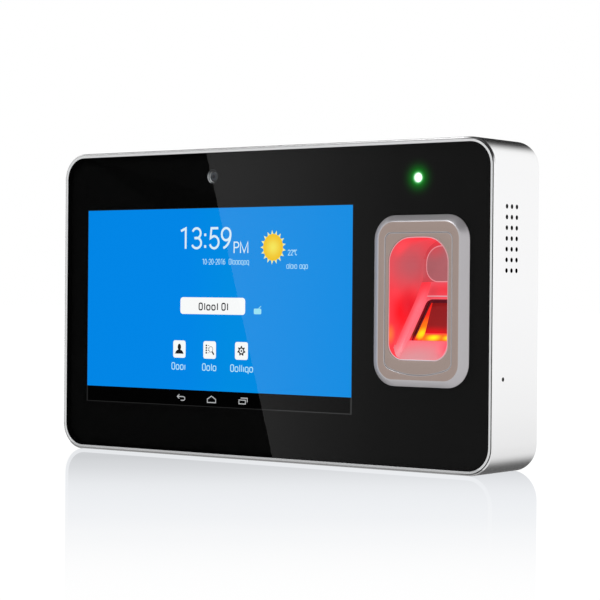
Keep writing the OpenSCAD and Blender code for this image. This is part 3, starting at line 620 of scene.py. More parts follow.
def finger_guide(looks):
    """The red guide: lip, side walls, rails, ramp, back wall, the prism's opening, and the stop's rim and pad."""
    rows, columns = pocket_rows(), pocket_columns()
    width, height = len(columns), len(rows)
    points = [pocket_point(share * half_w, z) for half_w, z in rows for share in columns]
    faces, kinds, opening = [], [], []
    for quad in grid_faces(width, height):
        j, i = divmod(quad[0], width)
        x = (columns[i] + columns[i + 1]) / 2 * rows[j][0]
        z = (rows[j][1] + rows[j + 1][1]) / 2
        if -CELL_HALF_W < x < CELL_RIGHT and CELL_Z[0] < z < CELL_Z[1]:
            opening.append((i, j))
        else:
            faces.append(quad)
            kinds.append(pocket_surface(x, z))
    # the opening's walls go back to the prism
    (i0, j0), (i1, j1) = opening[0], (opening[-1][0] + 1, opening[-1][1] + 1)
    loop = [(i, j0) for i in range(i0, i1)] + [(i1, j) for j in range(j0, j1)]
    loop += [(i, j1) for i in range(i1, i0, -1)] + [(i0, j) for j in range(j1, j0, -1)]
    loop = [j * width + i for i, j in loop]
    start = len(points)
    for x, depth, z in [points[k] for k in loop]:
        points.append((x, depth + CELL_SINK, z))
    faces += band(loop, range(start, len(points)))
    kinds += [RECESS] * len(loop)
    # the side walls rise from the floor's edge to the lip, and the lip turns outwards
    border = [j * width + width - 1 for j in range(height)]
    border += [(height - 1) * width + i for i in range(width - 2, -1, -1)]
    border += [j * width for j in range(height - 2, -1, -1)] + list(range(1, width - 1))
    lip_top = INLAY_DEPTH[0] + 0.05
    levels = [(-0.6, 0.0, WALL), (lip_top + 0.3, 0.0, WALL), (lip_top + 0.1, 0.08, WALL), (lip_top, 0.22, LIP),
              (lip_top + 0.06, 0.42, LIP), (lip_top + 0.25, 0.56, LIP), (-1.2, 0.58, LIP), (-1.2, 1.55, LIP)]
    previous = border
    for depth, grow, kind in levels:
        start = len(points)
        for x, floor, z in [points[k] for k in border]:
            push = Vector((((x - READER_X) / WINDOW_HALF_W) ** 5, ((z - WINDOW_MID) / WINDOW_HALF_H) ** 5))
            push = push.normalized() if push.length > 1e-9 else Vector((0, 0))
            points.append((x + push.x * grow, min(depth, floor - 0.02) if grow == 0 else depth, z + push.y * grow))
        ring = range(start, len(points))
        faces += band(previous, ring)
        kinds += [kind] * len(ring)
        previous = ring
    finger_stop(points, faces, kinds)
    return build("finger_guide", points, faces, looks, kinds, angle=38)


def finger_stop(points, faces, kinds):
    """The stop for the fingertip: a raised pad with a rim, on the back wall."""
    face = BACK_WALL - 1.8
    loops = []
    for grow, depth in [(0.0, BACK_WALL + 0.3), (0.0, face + 0.2), (-0.12, face + 0.05), (-0.3, face),
                        (-0.48, face + 0.05), (-0.6, face + 0.2), (-0.75, face + 0.35)]:
        start = len(points)
        points.extend(stop_ring(grow, depth))
        loops.append(range(start, len(points)))
    for i in range(len(loops) - 1):
        faces.extend(band(loops[i], loops[i + 1]))
        kinds.extend([RIM if i in (1, 2, 3) else PAD] * len(loops[i]))
    faces.extend([tuple(loops[-1]), tuple(loops[0])])
    kinds.extend([PAD, BACK])


def prism(looks):
    """The dark prism below its opening, with the bright wedge of its left side and the lit foot, which carry painted
    glow.
    """
    left, right, (foot, top) = -CELL_HALF_W, CELL_RIGHT, CELL_Z
    face_kind, side_kind, frame_kind, edge_kind = range(4)
    points, faces, kinds = [], [], []

    def on_face(x, z, raised=0.0):
        sink = CELL_SINK - 0.05 + raised
        return (READER_X + x, RAMP_START + (z - WINDOW_LOW) * RAMP_SLOPE + sink, z)

    def sheet(corners, kind, across, up):
        faces.extend(grid_faces(across + 1, up + 1, len(points)))
        points.extend(grid_points(corners, across, up))
        kinds.extend([kind] * (across * up))

    bar, upper, rise, inner = left + 0.9, top - 1.5, foot + 3.1, 0.2
    low, high = on_face(bar + 3.6, rise, inner), on_face(bar + 0.5, upper, inner)
    # the mask round the prism: a bar on its left and one above it
    sheet([on_face(left, foot), on_face(bar, foot), on_face(bar, top), on_face(left, top)], frame_kind, 4, 12)
    sheet([on_face(bar, upper), on_face(right, upper), on_face(right, top), on_face(bar, top)], frame_kind, 12, 3)
    # the prism's lit left side, its face, and the lit edge at its foot
    sheet([on_face(bar, foot), on_face(bar + 3.7, foot), low, on_face(bar, rise)], side_kind, 8, 4)
    sheet([on_face(bar, rise), low, high, on_face(bar, upper)], side_kind, 8, 16)
    sheet([low, on_face(right, rise, inner), on_face(right, upper, inner), high], face_kind, 16, 16)
    sheet([on_face(bar + 3.7, foot), on_face(right, foot), on_face(right, rise, inner), low], edge_kind, 16, 4)
    # its four sides and its back
    front = [on_face(left, foot), on_face(right, foot), on_face(right, top), on_face(left, top)]
    back = [(x, depth + 3.0, z) for x, depth, z in front]
    for k in range(4):
        sheet([front[k], front[(k + 1) % 4], back[(k + 1) % 4], back[k]], frame_kind, 4, 2)
    sheet(back, frame_kind, 4, 4)
    return build("reader_prism", points, faces, looks, kinds, angle=20)


# ---------- the display's picture ----------

LAYER_T = 0.04
TILE_U, TILE_V = (-19.7, -1.9, 16.4), -19.25
KEY_U, KEY_V, KEY_LINE = (-18.5, -0.6, 17.6), -41.5, 0.42
SUN_AT, SUN_R, SUN_WIDE, SUN_SPIKES = (33.7, 26.8), 5.9, 0.93, 17
ADVANCE = {":": 0.42, "-": 0.5, "M": 0.98, "P": 0.68, "o": 0.36, " ": 0.4}


def arc(cx, cy, rx, ry, start, end, steps=18):
    turns = [math.radians(start + (end - start) * step / steps) for step in range(steps + 1)]
    return [(cx + rx * math.cos(turn), cy + ry * math.sin(turn)) for turn in turns]


class Picture:
    """Flat shapes on the display, as thin solids. Places count in millimetres from its centre."""

    def __init__(self, layer):
        front = PANEL_DEPTH[0] - LAYER_T * (layer + 1)
        self.depths = (front, front + LAYER_T * 0.6)
        self.points, self.faces = [], []

    def add_points(self, depth, line):
        self.points += [(DISPLAY_AT[0] + u, depth, DISPLAY_AT[1] + v) for u, v in line]

    def add_strip(self, left, right, closed):
        """A solid between two lines of the same length."""
        start, count = len(self.points), len(left)
        for depth in self.depths:
            self.add_points(depth, left)
            self.add_points(depth, right)
        fl, fr, bl, br = (start + k * count for k in range(4))
        for i in range(count if closed else count - 1):
            j = (i + 1) % count
            self.faces += [(fl + i, fl + j, fr + j, fr + i), (bl + i, br + i, br + j, bl + j),
                           (fl + i, bl + i, bl + j, fl + j), (fr + i, fr + j, br + j, br + i)]
        if not closed:
            self.faces += [(fl + i, fr + i, br + i, bl + i) for i in (0, count - 1)]

    def stroke(self, line, width, closed=False):
        """A line of constant width through its points."""
        left, right, count = [], [], len(line)
        for i, (x, y) in enumerate(line):
            before = line[i - 1] if i or closed else line[i]
            after = line[(i + 1) % count] if i < count - 1 or closed else line[i]
            first = Vector((x - before[0], y - before[1]))
            second = Vector((after[0] - x, after[1] - y))
            first = first.normalized() if first.length > 1e-9 else second.normalized()
            second = second.normalized() if second.length > 1e-9 else first
            along = (first + second).normalized() if (first + second).length > 1e-6 else first
            mitre = 1 / max(0.5, along.dot(first))
            side = Vector((-along.y, along.x)) * (width / 2 * mitre)
            left.append((x + side.x, y + side.y))
            right.append((x - side.x, y - side.y))
        self.add_strip(left, right, closed)

    def area(self, edge):
        """A filled shape that is star-shaped round its middle."""
        start, count = len(self.points), len(edge)
        centre = tuple(sum(p[k] for p in edge) / count for k in (0, 1))
        for depth in self.depths:
            self.add_points(depth, [*edge, centre])
        back = start + count + 1
        for i in range(count):
            j = (i + 1) % count
            self.faces += [(start + i, start + j, start + count), (back + j, back + i, back + count),
                           (start + i, back + i, back + j, start + j)]

    def block(self, cx, cy, w, h, r):
        self.area([(cx + x, cy + y) for x, y in outline(w / 2, -h / 2, h / 2, r, r, arc=6, edge=3)])

    def make(self, name, material):
        return piece(build(name, self.points, self.faces, [material], angle=20), "lcd_glass")


def digit_strokes(character):
    """A thin numeral as (points, closed) strokes, in a box 0.6 wide and 1 high."""
    upper = arc(0.29, 0.74, 0.24, 0.24, 160, -90)
    lower = arc(0.29, 0.27, 0.27, 0.25, 90, -160)
    return {
        "0": [(arc(0.30, 0.5, 0.25, 0.48, 0, 350, 35), True)],
        "1": [([(0.12, 0.86), (0.40, 0.98), (0.40, 0.0)], False)],
        "2": [(arc(0.29, 0.70, 0.25, 0.27, 170, -30) + [(0.05, 0.02), (0.57, 0.02)], False)],
        "3": [(upper + [(0.17, 0.51)], False), ([(0.17, 0.51)] + lower, False)],
        "5": [([(0.52, 0.97), (0.13, 0.97), (0.08, 0.50)] + arc(0.29, 0.30, 0.26, 0.29, 125, -160), False)],
        "6": [(arc(0.30, 0.31, 0.25, 0.29, 0, 350, 35), True), (arc(0.56, 0.31, 0.51, 0.66, 180, 100), False)],
        "9": [(arc(0.29, 0.68, 0.25, 0.29, 0, 350, 35), True), (arc(0.03, 0.68, 0.51, 0.67, 0, -78), False)],
        "-": [([(0.12, 0.42), (0.42, 0.42)], False)],
        "P": [([(0.10, 0.0), (0.10, 0.97), (0.36, 0.97)] + arc(0.36, 0.73, 0.22, 0.24, 90, -90)
               + [(0.10, 0.49)], False)],
        "M": [([(0.08, 0.0), (0.08, 0.98), (0.46, 0.06), (0.84, 0.98), (0.84, 0.0)], False)],
        "C": [(arc(0.30, 0.5, 0.25, 0.48, 50, 310), False)],
        "o": [(arc(0.16, 0.82, 0.12, 0.15, 0, 345, 20), True)],
    }[character]


def numerals(art, text, left, base, height, weight, wide=1.0):
    """Writes numerals from left to right, with their feet on the base line."""
    for character in text:
        if character == ":":
            for dot in (0.08, 0.64):
                art.block(left + 0.16 * height, base + (dot + 0.02) * height, weight * 1.15, weight * 1.15, 0.1)
        elif character != " ":
            for line, closed in digit_strokes(character):
                art.stroke([(left + x * height * wide, base + y * height) for x, y in line], weight, closed)
        left += ADVANCE.get(character, 0.68) * height * wide


def word_marks(art, pattern, left, base, height, weight, wide=0.46):
    """Stands for a word with plain marks: T and o are tall and low boxes, l and i tall and low stems.

    A p is a low box with a stem below it.
    """
    low = height * 0.72
    for mark in pattern:
        tall = height if mark in "Tl" else low
        if mark in "Top":
            w = height * wide
            box = outline(w / 2, 0, tall, w * 0.35, w * 0.35, arc=4, edge=2)
            art.stroke([(left + w / 2 + x, base + y) for x, y in box], weight, True)
            if mark == "p":
                art.stroke([(left + w, base + weight), (left + w, base - height * 0.28)], weight)
            left += w + weight * 1.9
        elif mark in "li":
            art.stroke([(left + weight / 2, base), (left + weight / 2, base + tall)], weight)
            left += weight * 2.6
        else:
            left += height * 0.45


def display_picture():
    """The home screen: clock, date, weather, a button, three tiles and the system's keys."""
    clock = Picture(1)
    for digit, u in (("1", -20.5), ("3", -13.0), (":", -6.5), ("5", -2.7), ("9", 4.2)):
        numerals(clock, digit, u, 26.45, 9.4, 1.05, 1.07)
    numerals(clock, "PM", 11.2, 24.35, 5.0, 0.58, 1.1)
    clock.make("picture_lines", picture("picture_white", (0.78, 0.94, 1.04)))
    words = Picture(1)
    numerals(words, "10-20-2016", -6.7, 19.3, 2.45, 0.27, 0.86)
    word_marks(words, "Tlooopop", 8.9, 19.3, 2.4, 0.25)
    numerals(words, "22oC", 41.9, 23.25, 2.4, 0.29, 0.93)
    word_marks(words, "oloio opo", 41.3, 17.4, 2.4, 0.25)
    for pattern, u in (("Tooi", -24.1), ("Tolo", -6.0), ("Tollipo", 10.3)):
        word_marks(words, pattern, u, -28.5, 2.95, 0.42, 0.58)
    words.make("picture_words", picture("picture_words_white", (0.52, 0.88, 1.12)))

    plates = Picture(1)
    plates.block(-0.5, 0.6, 37.6, 7.6, 1.5)
    for u in TILE_U:
        plates.block(u, TILE_V, 7.35, 7.9, 1.1)
    plates.make("picture_plates", picture("picture_plate", (1.08, 1.08, 1.08)))

    marks = Picture(2)
    word_marks(marks, "Tlool Tl", -8.2, -1.2, 3.0, 0.58, 0.62)
    person_mark(marks, TILE_U[0], TILE_V)
    list_mark(marks, TILE_U[1], TILE_V)
    gear_mark(marks, TILE_U[2], TILE_V)
    marks.make("picture_marks", picture("picture_dark", (0.012, 0.012, 0.014)))

    sun_mark()
    small = Picture(1)
    small.block(25.3, -1.55, 4.2, 2.5, 0.6)
    small.stroke([(25.9, -0.3), (27.2, 0.8)], 0.35)
    small.make("picture_receiver", picture("picture_cyan", (0.36, 0.83, 0.98)))

    keys = Picture(1)
    back_arrow = [(-2.0, 0.65), (1.3, 0.65)] + arc(1.3, -0.2, 0.95, 0.85, 80, -80, 8) + [(-0.2, -1.05)]
    for key, line, closed in (
            (0, back_arrow, False), (0, [(-1.0, 1.6), (-2.2, 0.65), (-1.0, -0.3)], False),
            (1, [(-2.4, -1.4), (-2.4, 0.1), (0, 1.5), (2.4, 0.1), (2.4, -1.4)], True),
            (2, [(-2.4, -1.3), (-2.4, 0.4), (1.3, 0.4), (1.3, -1.3)], True),
            (2, [(-1.4, 1.3), (2.3, 1.3), (2.3, -0.5)], False)):
        keys.stroke([(KEY_U[key] + x, KEY_V + y) for x, y in line], KEY_LINE, closed)
    keys.make("picture_keys", picture("picture_grey", (0.50, 0.50, 0.51)))


def person_mark(marks, u, v):
    """A plain head and shoulders."""
    marks.area(arc(u, v + 0.95, 1.0, 1.5, 0, 348, 28))
    marks.area([(u - 2.6, v - 2.1)] + arc(u, v - 1.9, 2.3, 1.7, 165, 15, 14) + [(u + 2.6, v - 2.1)])


def list_mark(marks, u, v):
    """A short list with a magnifying glass."""
    for row in range(4):
        marks.block(u - 1.9, v + 2.0 - row * 1.1, 0.8, 0.75, 0.15)
        marks.block(u - 0.6, v + 2.0 - row * 1.1, 0.9, 0.2, 0.08)
    marks.stroke(arc(u + 0.7, v + 0.3, 1.15, 1.25, 0, 345, 22), 0.22, True)
    marks.stroke([(u + 1.5, v - 0.75), (u + 2.5, v - 2.1)], 0.7)


def gear_mark(marks, u, v):
    """A cog: a ring with seven short teeth and a hub."""
    marks.stroke(arc(u, v, 1.35, 1.35, 0, 350, 35), 0.62, True)
    for tooth in range(7):
        turn = math.radians(90 + tooth * 360 / 7)
        marks.stroke([(u + r * math.cos(turn), v + r * math.sin(turn)) for r in (1.5, 2.25)], 0.7)
    marks.block(u, v, 0.9, 0.9, 0.4)


def sun_mark():
    """A round sun with pale spikes."""
    u, v = SUN_AT
    centre = row_point(DISPLAY_AT[0] + u, PANEL_DEPTH[0] - 0.1, DISPLAY_AT[1] + v)
    rays = Picture(1)
    half = math.pi / SUN_SPIKES * 0.92
    for spike in range(SUN_SPIKES):
        turn = 2 * math.pi * (spike + 0.5) / SUN_SPIKES
        rays.area([(u + SUN_WIDE * r * math.cos(turn + a), v + r * math.sin(turn + a))
                   for r, a in ((SUN_R - 0.6, -half), (SUN_R + 1.7, 0), (SUN_R - 0.6, half))])
    rays.make("picture_sun_rays", picture("picture_sun_ray", (0.93, 0.95, 0.42), centre, (1.0, 0.62, 0.02), 6.4))
    disc = Picture(2)
    disc.area(arc(u, v, SUN_R * SUN_WIDE, SUN_R, 0, 355, 71))
    disc.make("picture_sun_disc", picture("picture_sun", (0.98, 0.60, 0.015), centre, (1.0, 0.84, 0.10), 5.6))


# ---------- status light, camera and tamper spring ----------

EYE_R = 2.4


def tamper_coil(look):
    """The tamper plunger's return spring, wound closer at its ends."""
    across, (near, far), up = node_box("tamper_spring")
    travel = next(j["range_m"][1] for j in frame["record"]["behaviour"]["joints"] if j["name"] == "tamper_press")
    x, z = middle(across), middle(up)
    wire_r, turns, steps, sides, closer = 0.25, 4, 28, 12, 0.8
    mean_r = (across[1] - across[0]) / 2 - wire_r
    rings = []
    for share in (i / (turns * steps) for i in range(turns * steps + 1)):
        wound = share - closer * math.sin(2 * math.pi * share) / (2 * math.pi)
        depth = near + wire_r + (far - near - 2 * wire_r) * wound
        turn = 2 * math.pi * turns * share
        wire = [(wire_r * math.cos(a), wire_r * math.sin(a)) for a in (2 * math.pi * k / sides for k in range(sides))]
        rings.append([(x + (mean_r + out) * math.cos(turn), depth + along, z - (mean_r + out) * math.sin(turn))
                      for out, along in wire])
    coil = piece(lofted("tamper_coil", rings, [look], angle=50.0), "spring_steel", "tamper_spring")
    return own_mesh(coil, "tamper_press", axis=(0, 1, 0), anchor=row_point(x, near, z),
                     keep=1 - travel / ((far - near) * MM))


def status_lens():
    """The light pipe: its domed end sits in the ink's window, right behind the glass."""
    x, z = middle(LED_X), middle(LED_Z)
    r = (LED_X[1] - LED_X[0]) / 2
    front, back = GLASS_DEPTH[1] + 0.02, LED_DEPTH[1]
    profile = [((r - 0.08) * math.sin(a), front + 0.12 * (1 - math.cos(a)))
               for a in map(math.radians, range(6, 91, 12))]
    profile += [(r - 0.08, LED_DEPTH[0]), (r, LED_DEPTH[0] + 0.05), (r, back - 0.1), (r - 0.1, back)]
    # Painted glow: the light pipe's end emits, white at its middle and green towards its rim.
    look = lit_led("light_pipe_lit", (1.0, 1.0, 1.0), (0.55, 1.0, 0.62), row_point(x, front, z), 2.4, 1.6)
    return lathe("status_lens", profile, (x, z), [look])


def camera_eye():
    """The camera's lens: a dark coated dome."""
    x, z = middle(LENS_X), middle(LENS_Z)
    front, back = LENS_DEPTH
    profile = [(EYE_R * math.sin(a) + 0.001, front + (back - front) * 0.9 * (1 - math.cos(a)))
               for a in map(math.radians, range(5, 91, 9))]
    look = Look("camera_glass")
    rings = look.ramp(look.blob(row_point(x, front, z), 2.6), (0.0, (0.02, 0.022, 0.024)), (0.3, (0.012, 0.014, 0.018)),
                      (0.62, (0.015, 0.02, 0.03)), (0.8, (0.002, 0.002, 0.004)))
    coated = look.surface(rings, (0.1, 0.2), look.noise(900.0), Specular_IOR_Level=0.3)
    return lathe("camera_eye", profile + [(EYE_R, back)], (x, z), [coated])


def camera_rim():
    """The camera's barrel: a black body with a dished metal seat round the lens, whose colour holds a painted highlight
    on its left and painted shade elsewhere.
    """
    x, z = middle(RIM_X), middle(RIM_Z)
    front, back = RIM_DEPTH
    r = (RIM_X[1] - RIM_X[0]) / 2
    floor = LENS_DEPTH[1]
    profile = [(EYE_R + 0.05, floor), (EYE_R + 0.3, floor - 0.12), (2.95, front + 0.1), (3.15, front),
               (r - 0.1, front), (r, front + 0.1), (r, back - 0.1), (r - 0.1, back), (0.5, back)]
    look = Look("camera_seat")
    # Painted highlight: the seat is bright round a point left of the lens and near black away from it.
    lit_side = look.blob(row_point(x - 3.5, floor, z - 0.6), 6.3)
    shine = look.ramp(lit_side, (0.0, (0.008, 0.008, 0.009)), (0.35, (0.03, 0.03, 0.031)), (0.7, (0.42, 0.42, 0.43)),
                      (1.0, (0.90, 0.90, 0.91)))
    seat = look.surface(shine, (0.26, 0.34), look.noise(1500.0, 3.0), Metallic=1.0)
    body = plastic("camera_body", (0.018, 0.018, 0.02), 0.5, grain=2600.0)
    return lathe("camera_rim", profile, (x, z), [body, seat], [1, 1, 1, 0, 0, 0, 0, 0])


# ---------- stage, light and camera ----------

CAMERA_AT = Vector((0.5440, -0.7168, 0.0750))
CAMERA_YAW, CAMERA_PITCH, CAMERA_ROLL = 36.79, -0.24, 0.48
CAMERA_LENS = 120.7
FLOOR_HALF = 6
FADE_FROM, FADE_TO = -0.04, 0.37
GLARE_TOP_X, GLARE_FOOT_X = -32.2, 6.6
DARK_CARD_Y, GLARE_CARD_Y = -1.5, -1.4
IMAGE_TRIM, IMAGE_RING, IMAGE_END = 1.6, 1.9, 0.43


def place_camera():
    yaw, pitch, roll = (math.radians(a) for a in (CAMERA_YAW, CAMERA_PITCH, CAMERA_ROLL))
    forward = Vector((-math.sin(yaw) * math.cos(pitch), math.cos(yaw) * math.cos(pitch), math.sin(pitch)))
    level = Vector((math.cos(yaw), math.sin(yaw), 0))
    above = level.cross(forward)
    right = level * math.cos(roll) + above * math.sin(roll)
    up = above * math.cos(roll) - level * math.sin(roll)
    data = bpy.data.cameras.new("camera")
    data.lens = CAMERA_LENS
    data.clip_start = 0.01
    camera = add_object("camera", data)
    turned = Matrix((right, up, -forward)).transposed().to_4x4()
    camera.matrix_world = Matrix.Translation(CAMERA_AT) @ turned
    bpy.context.scene.camera = camera


def stage_piece(name, points, width, material, hidden_from):
    """A stage piece over rows of points in metres, hidden from some kinds of rays."""
    mesh = bpy.data.meshes.new(name)
    mesh.from_pydata(points, [], grid_faces(width, len(points) // width))
    mesh.materials.append(material)
    thing = add_object(name, mesh)
    for kind in hidden_from:
        setattr(thing, "visible_" + kind, False)


def card(name, corners, material):
    """A flat card that only reflections see."""
    stage_piece(name, grid_points(corners, 8, 8), 9, material,
                ("camera", "diffuse", "shadow", "transmission", "volume_scatter"))


def floor_look():
    """White, with a mirror image that fades away quickly in front of the terminal."""
    look = Look("stage_floor")
    share = look.ramp(look.towards_camera(FADE_FROM, FADE_TO), (0.0, 0.10), (0.18, 0.09), (0.36, 0.06), (0.56, 0.04),
                      (0.8, 0.015), (1.0, 0.0))
    mirror = look.add("BsdfGlossy", {"Color": (0.95, 1.0, 1.0), "Roughness": 0.02})
    mixed = look.blend(share, look.emission(1.0), mirror)
    return look.done(look.add("AddShader", {0: mixed, 1: look.emission((0.985, 1.0, 1.0), 0.05)}))


def glare_look(first, last):
    """A lit card that grows darker from its edge towards its far side, and a little towards its foot."""
    look = Look("stage_glare")
    lower = look.times(look.math("SUBTRACT", first.z, look.axis("Z")), 0.09)
    place = look.span(look.math("ADD", look.axis("X"), lower), first.x, last.x)
    return look.done(look.emission(look.ramp(place, (0.0, 0.54), (0.16, 0.50), (0.33, 0.39), (0.48, 0.265),
                                             (0.62, 0.185), (0.78, 0.155), (1.0, 0.15))))


def glass_reflection():
    """Dark and lit cards that only the glass sees: the lit one ends on a slanted edge."""
    low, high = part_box("front_glass")
    mirrored = Vector((CAMERA_AT.x, 2 * low.y - CAMERA_AT.y, CAMERA_AT.z))

    def seen_at(x, z, card_y):
        """The place on a card that the camera sees mirrored at a point of the glass."""
        share = (card_y - mirrored.y) / (low.y - mirrored.y)
        return mirrored + (Vector((x, low.y, z)) - mirrored) * share

    left, right, foot, top = low.x - 0.05, high.x + 0.05, low.z - 0.06, high.z + 0.06
    black = Look("stage_black")
    card("dark_card", [seen_at(x, z, DARK_CARD_Y) for x, z in ((left, foot), (right, foot), (right, top), (left, top))],
         black.done(black.emission(0.01)))
    spread = 0.03
    foot_x, top_x = GLARE_FOOT_X * MM, GLARE_TOP_X * MM
    lean = (foot_x - top_x) / (high.z - low.z)
    foot, top, right = low.z - spread, high.z + spread, high.x + spread
    corners = [seen_at(x, z, GLARE_CARD_Y) for x, z in (
        (foot_x + lean * spread, foot), (right, foot), (right, top), (top_x - lean * spread, top))]
    card("glare_card", corners, glare_look(corners[3], corners[1]))


def image_below(x, depth, z, lift):
    """Where the floor shows the camera the mirror image of a point of the terminal."""
    place = row_point(x, depth, z)
    share = CAMERA_AT.z / (CAMERA_AT.z + place.z)
    spot = CAMERA_AT.lerp(Vector((place.x, place.y, -place.z)), share)
    return (spot.x, spot.y, lift)


def painted_image_patch(name, rows, stops):
    """A piece of the mirror image as painted reflection: a patch over the floor that glows a cool grey, fading towards
    the camera.
    """
    look = Look(name + "_look")
    colours = []
    for place, level in stops:
        cool = min(1.0, (255 - level) / 15)
        colours.append((place / IMAGE_END, srgb(level - 2 * cool, level, min(255, level + 3 * cool))))
    glow = look.emission(look.ramp(look.towards_camera(0.0, IMAGE_END), *colours))
    stage_piece(name, [point for row in rows for point in row], len(rows[0]), look.done(glow), ("glossy", "diffuse"))


def image_profile(inset, r):
    """Heights, and how far the rounded outline is cut in there, from its foot upwards."""
    corner = [(inset + r * (1 - math.cos(a)), inset + r * (1 - math.sin(a)))
              for a in map(math.radians, range(0, 91, 9))]
    return corner + [(z, inset) for z in range(15, int(BODY_Z[1]), 6)]


def front_rows(inset, r, lift):
    """The front's rounded outline, drawn in, as rows from its foot upwards."""
    rows = []
    for z, cut in image_profile(inset, r):
        left, right = BODY_X[0] + IMAGE_TRIM + cut, BODY_X[1] - cut
        rows.append([image_below(left + (right - left) * step / 16, BODY_DEPTH[0], z, lift) for step in range(17)])
    return rows


def painted_mirror_image():
    """The terminal's dim image in the glossy table, as painted reflection: glowing floor patches for its ring, its
    front and its right side.
    """
    near, far = BODY_DEPTH
    painted_image_patch("painted_image_ring", front_rows(0.0, BODY_R, 0.0002), [
        (0.0, 232), (0.05, 235), (0.1, 237.5), (0.15, 240), (0.2, 243), (0.25, 245.5), (0.3, 249), (0.35, 252.5),
        (0.395, 254.4), (IMAGE_END, 255)])
    front = [(0.0, 208), (0.02, 213), (0.055, 219), (0.09, 227), (0.125, 234), (0.155, 237.5), (0.185, 239.7),
             (0.21, 241.3), (0.235, 242.6), (0.257, 244.8), (0.278, 247), (0.298, 248.2), (0.317, 250), (0.334, 251.4),
             (0.352, 252.6), (0.37, 253.6), (0.395, 254.4), (IMAGE_END, 255)]
    painted_image_patch("painted_image_front", front_rows(IMAGE_RING, BODY_R - IMAGE_RING, 0.0003), front)
    painted_image_patch("painted_image_side", [
        [image_below(BODY_X[1] - cut, near + (far - near) * step / 4, z, 0.0002) for step in range(5)]
        for z, cut in image_profile(0.0, BODY_R)], front)


def grey_card(name, across, foot, top, level, fade=None):
    """A card of one grey; foot and top are (y, z). Fade gives the X range in which it goes over to white."""
    look = Look(name + "_look")
    colour = level
    if fade:
        reach = look.span(look.axis("X"), *fade)
        colour = look.ramp(reach, *[(place, level + (0.98 - level) * share) for place, share in
                                    ((0.0, 0.0), (0.3, 0.06), (0.55, 0.3), (0.8, 0.76), (1.0, 1.0))])
    left, right = across
    card(name, [(left, *foot), (right, *foot), (right, *top), (left, *top)], look.done(look.emission(colour)))


def softbox(name, at, aim, size, power):
    data = bpy.data.lights.new(name, "AREA")
    data.shape = "RECTANGLE"
    data.size, data.size_y = size
    data.energy = power
    light = add_object(name, data)
    light.location = at
    light.rotation_euler = (Vector(aim) - Vector(at)).to_track_quat("-Z", "Y").to_euler()
    light.visible_camera = False


def studio():
    world = bpy.data.worlds.new("studio")
    world.use_nodes = True
    background = world.node_tree.nodes["Background"]
    background.inputs["Color"].default_value = (1.0, 1.0, 1.0, 1)
    background.inputs["Strength"].default_value = 1.0
    bpy.context.scene.world = world
    bpy.context.scene.view_settings.view_transform = "Standard"

    corners = [(x * FLOOR_HALF, y * FLOOR_HALF, 0) for x, y in ((-1, -1), (1, -1), (1, 1), (-1, 1))]
    stage_piece("floor", grid_points(corners, 12, 12), 13, floor_look(), ("glossy",))
    glass_reflection()
    grey_card("front_dark", (-2.6, 2.6), (-2.6, 1.75), (0.2, 2.6), 0.02)
    painted_mirror_image()
    grey_card("rear_dark", (-1.9, 0.35), (1.3, 0.33), (0.9, 1.9), 0.005, (-0.30, 0.35))
    grey_card("under_grey", (-1.6, 0.5), (0.25, -0.9), (1.3, -0.35), 0.14, (-0.05, 0.5))
    softbox("key", (-0.5, -1.3, 1.5), (0, 0, 0.07), (1.2, 0.9), 14)
    softbox("side", (1.5, 0.1, 0.9), (0.1, 0, 0.07), (0.9, 0.9), 6)


# ---------- materials of every node ----------

GRILLE_DEPTH, GRILLE_UP = (4.5, 24.0), (0.034, 0.125)


def groove_glow(look):
    """Painted light in the groove round the ring, as emission: most at the top and left, less near the foot, almost
    none at the right.
    """
    right = look.span(look.axis("X"), (BODY_X[1] - 19) * MM, (BODY_X[1] - 9) * MM)
    high = look.span(look.axis("Z"), 8 * MM, 18 * MM)
    lit = look.mix(high, 0.26, look.ramp(look.noise(2600.0, 2.0), (0.3, 0.50), (0.7, 0.56)))
    return look.emission(look.mix(right, lit, 0.012))


def ring_look(name):
    """The bright ring, with painted shade on its lowest 3 mm. Behind its front edge it faces the groove, where it takes
    the groove's painted light, or the glass's black border, where it is painted near black as shade.
    """
    look = Look(name)
    fine = look.noise(5200.0, 4.0, 0.6)
    bright = look.ramp(fine, (0.25, (0.60, 0.605, 0.61)), (0.75, (0.66, 0.665, 0.67)))
    # Painted shade: the ring's lowest 3 mm take the dim colour.
    dim = look.ramp(fine, (0.25, (0.44, 0.445, 0.45)), (0.75, (0.49, 0.495, 0.50)))
    front = look.principled(Base_Color=look.mix(look.below(look.axis("Z"), 3.0 * MM), bright, dim), Metallic=0.45,
                            Roughness=look.between(fine, 0.38, 0.46), Normal=look.bump(fine, 0.02))
    deep = look.above(look.axis("Y"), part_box("front_ring")[0].y + 0.15 * MM)
    # Painted shade: the wall that faces the glass's black border is near black.
    black = look.principled(Base_Color=look.ramp(fine, (0.3, 0.003), (0.7, 0.005)), Roughness=0.7)
    inner = look.blend(look.near_outline(1.3, BODY_X, BODY_Z, BODY_R), black, groove_glow(look))
    return look.done(look.blend(deep, front, inner))


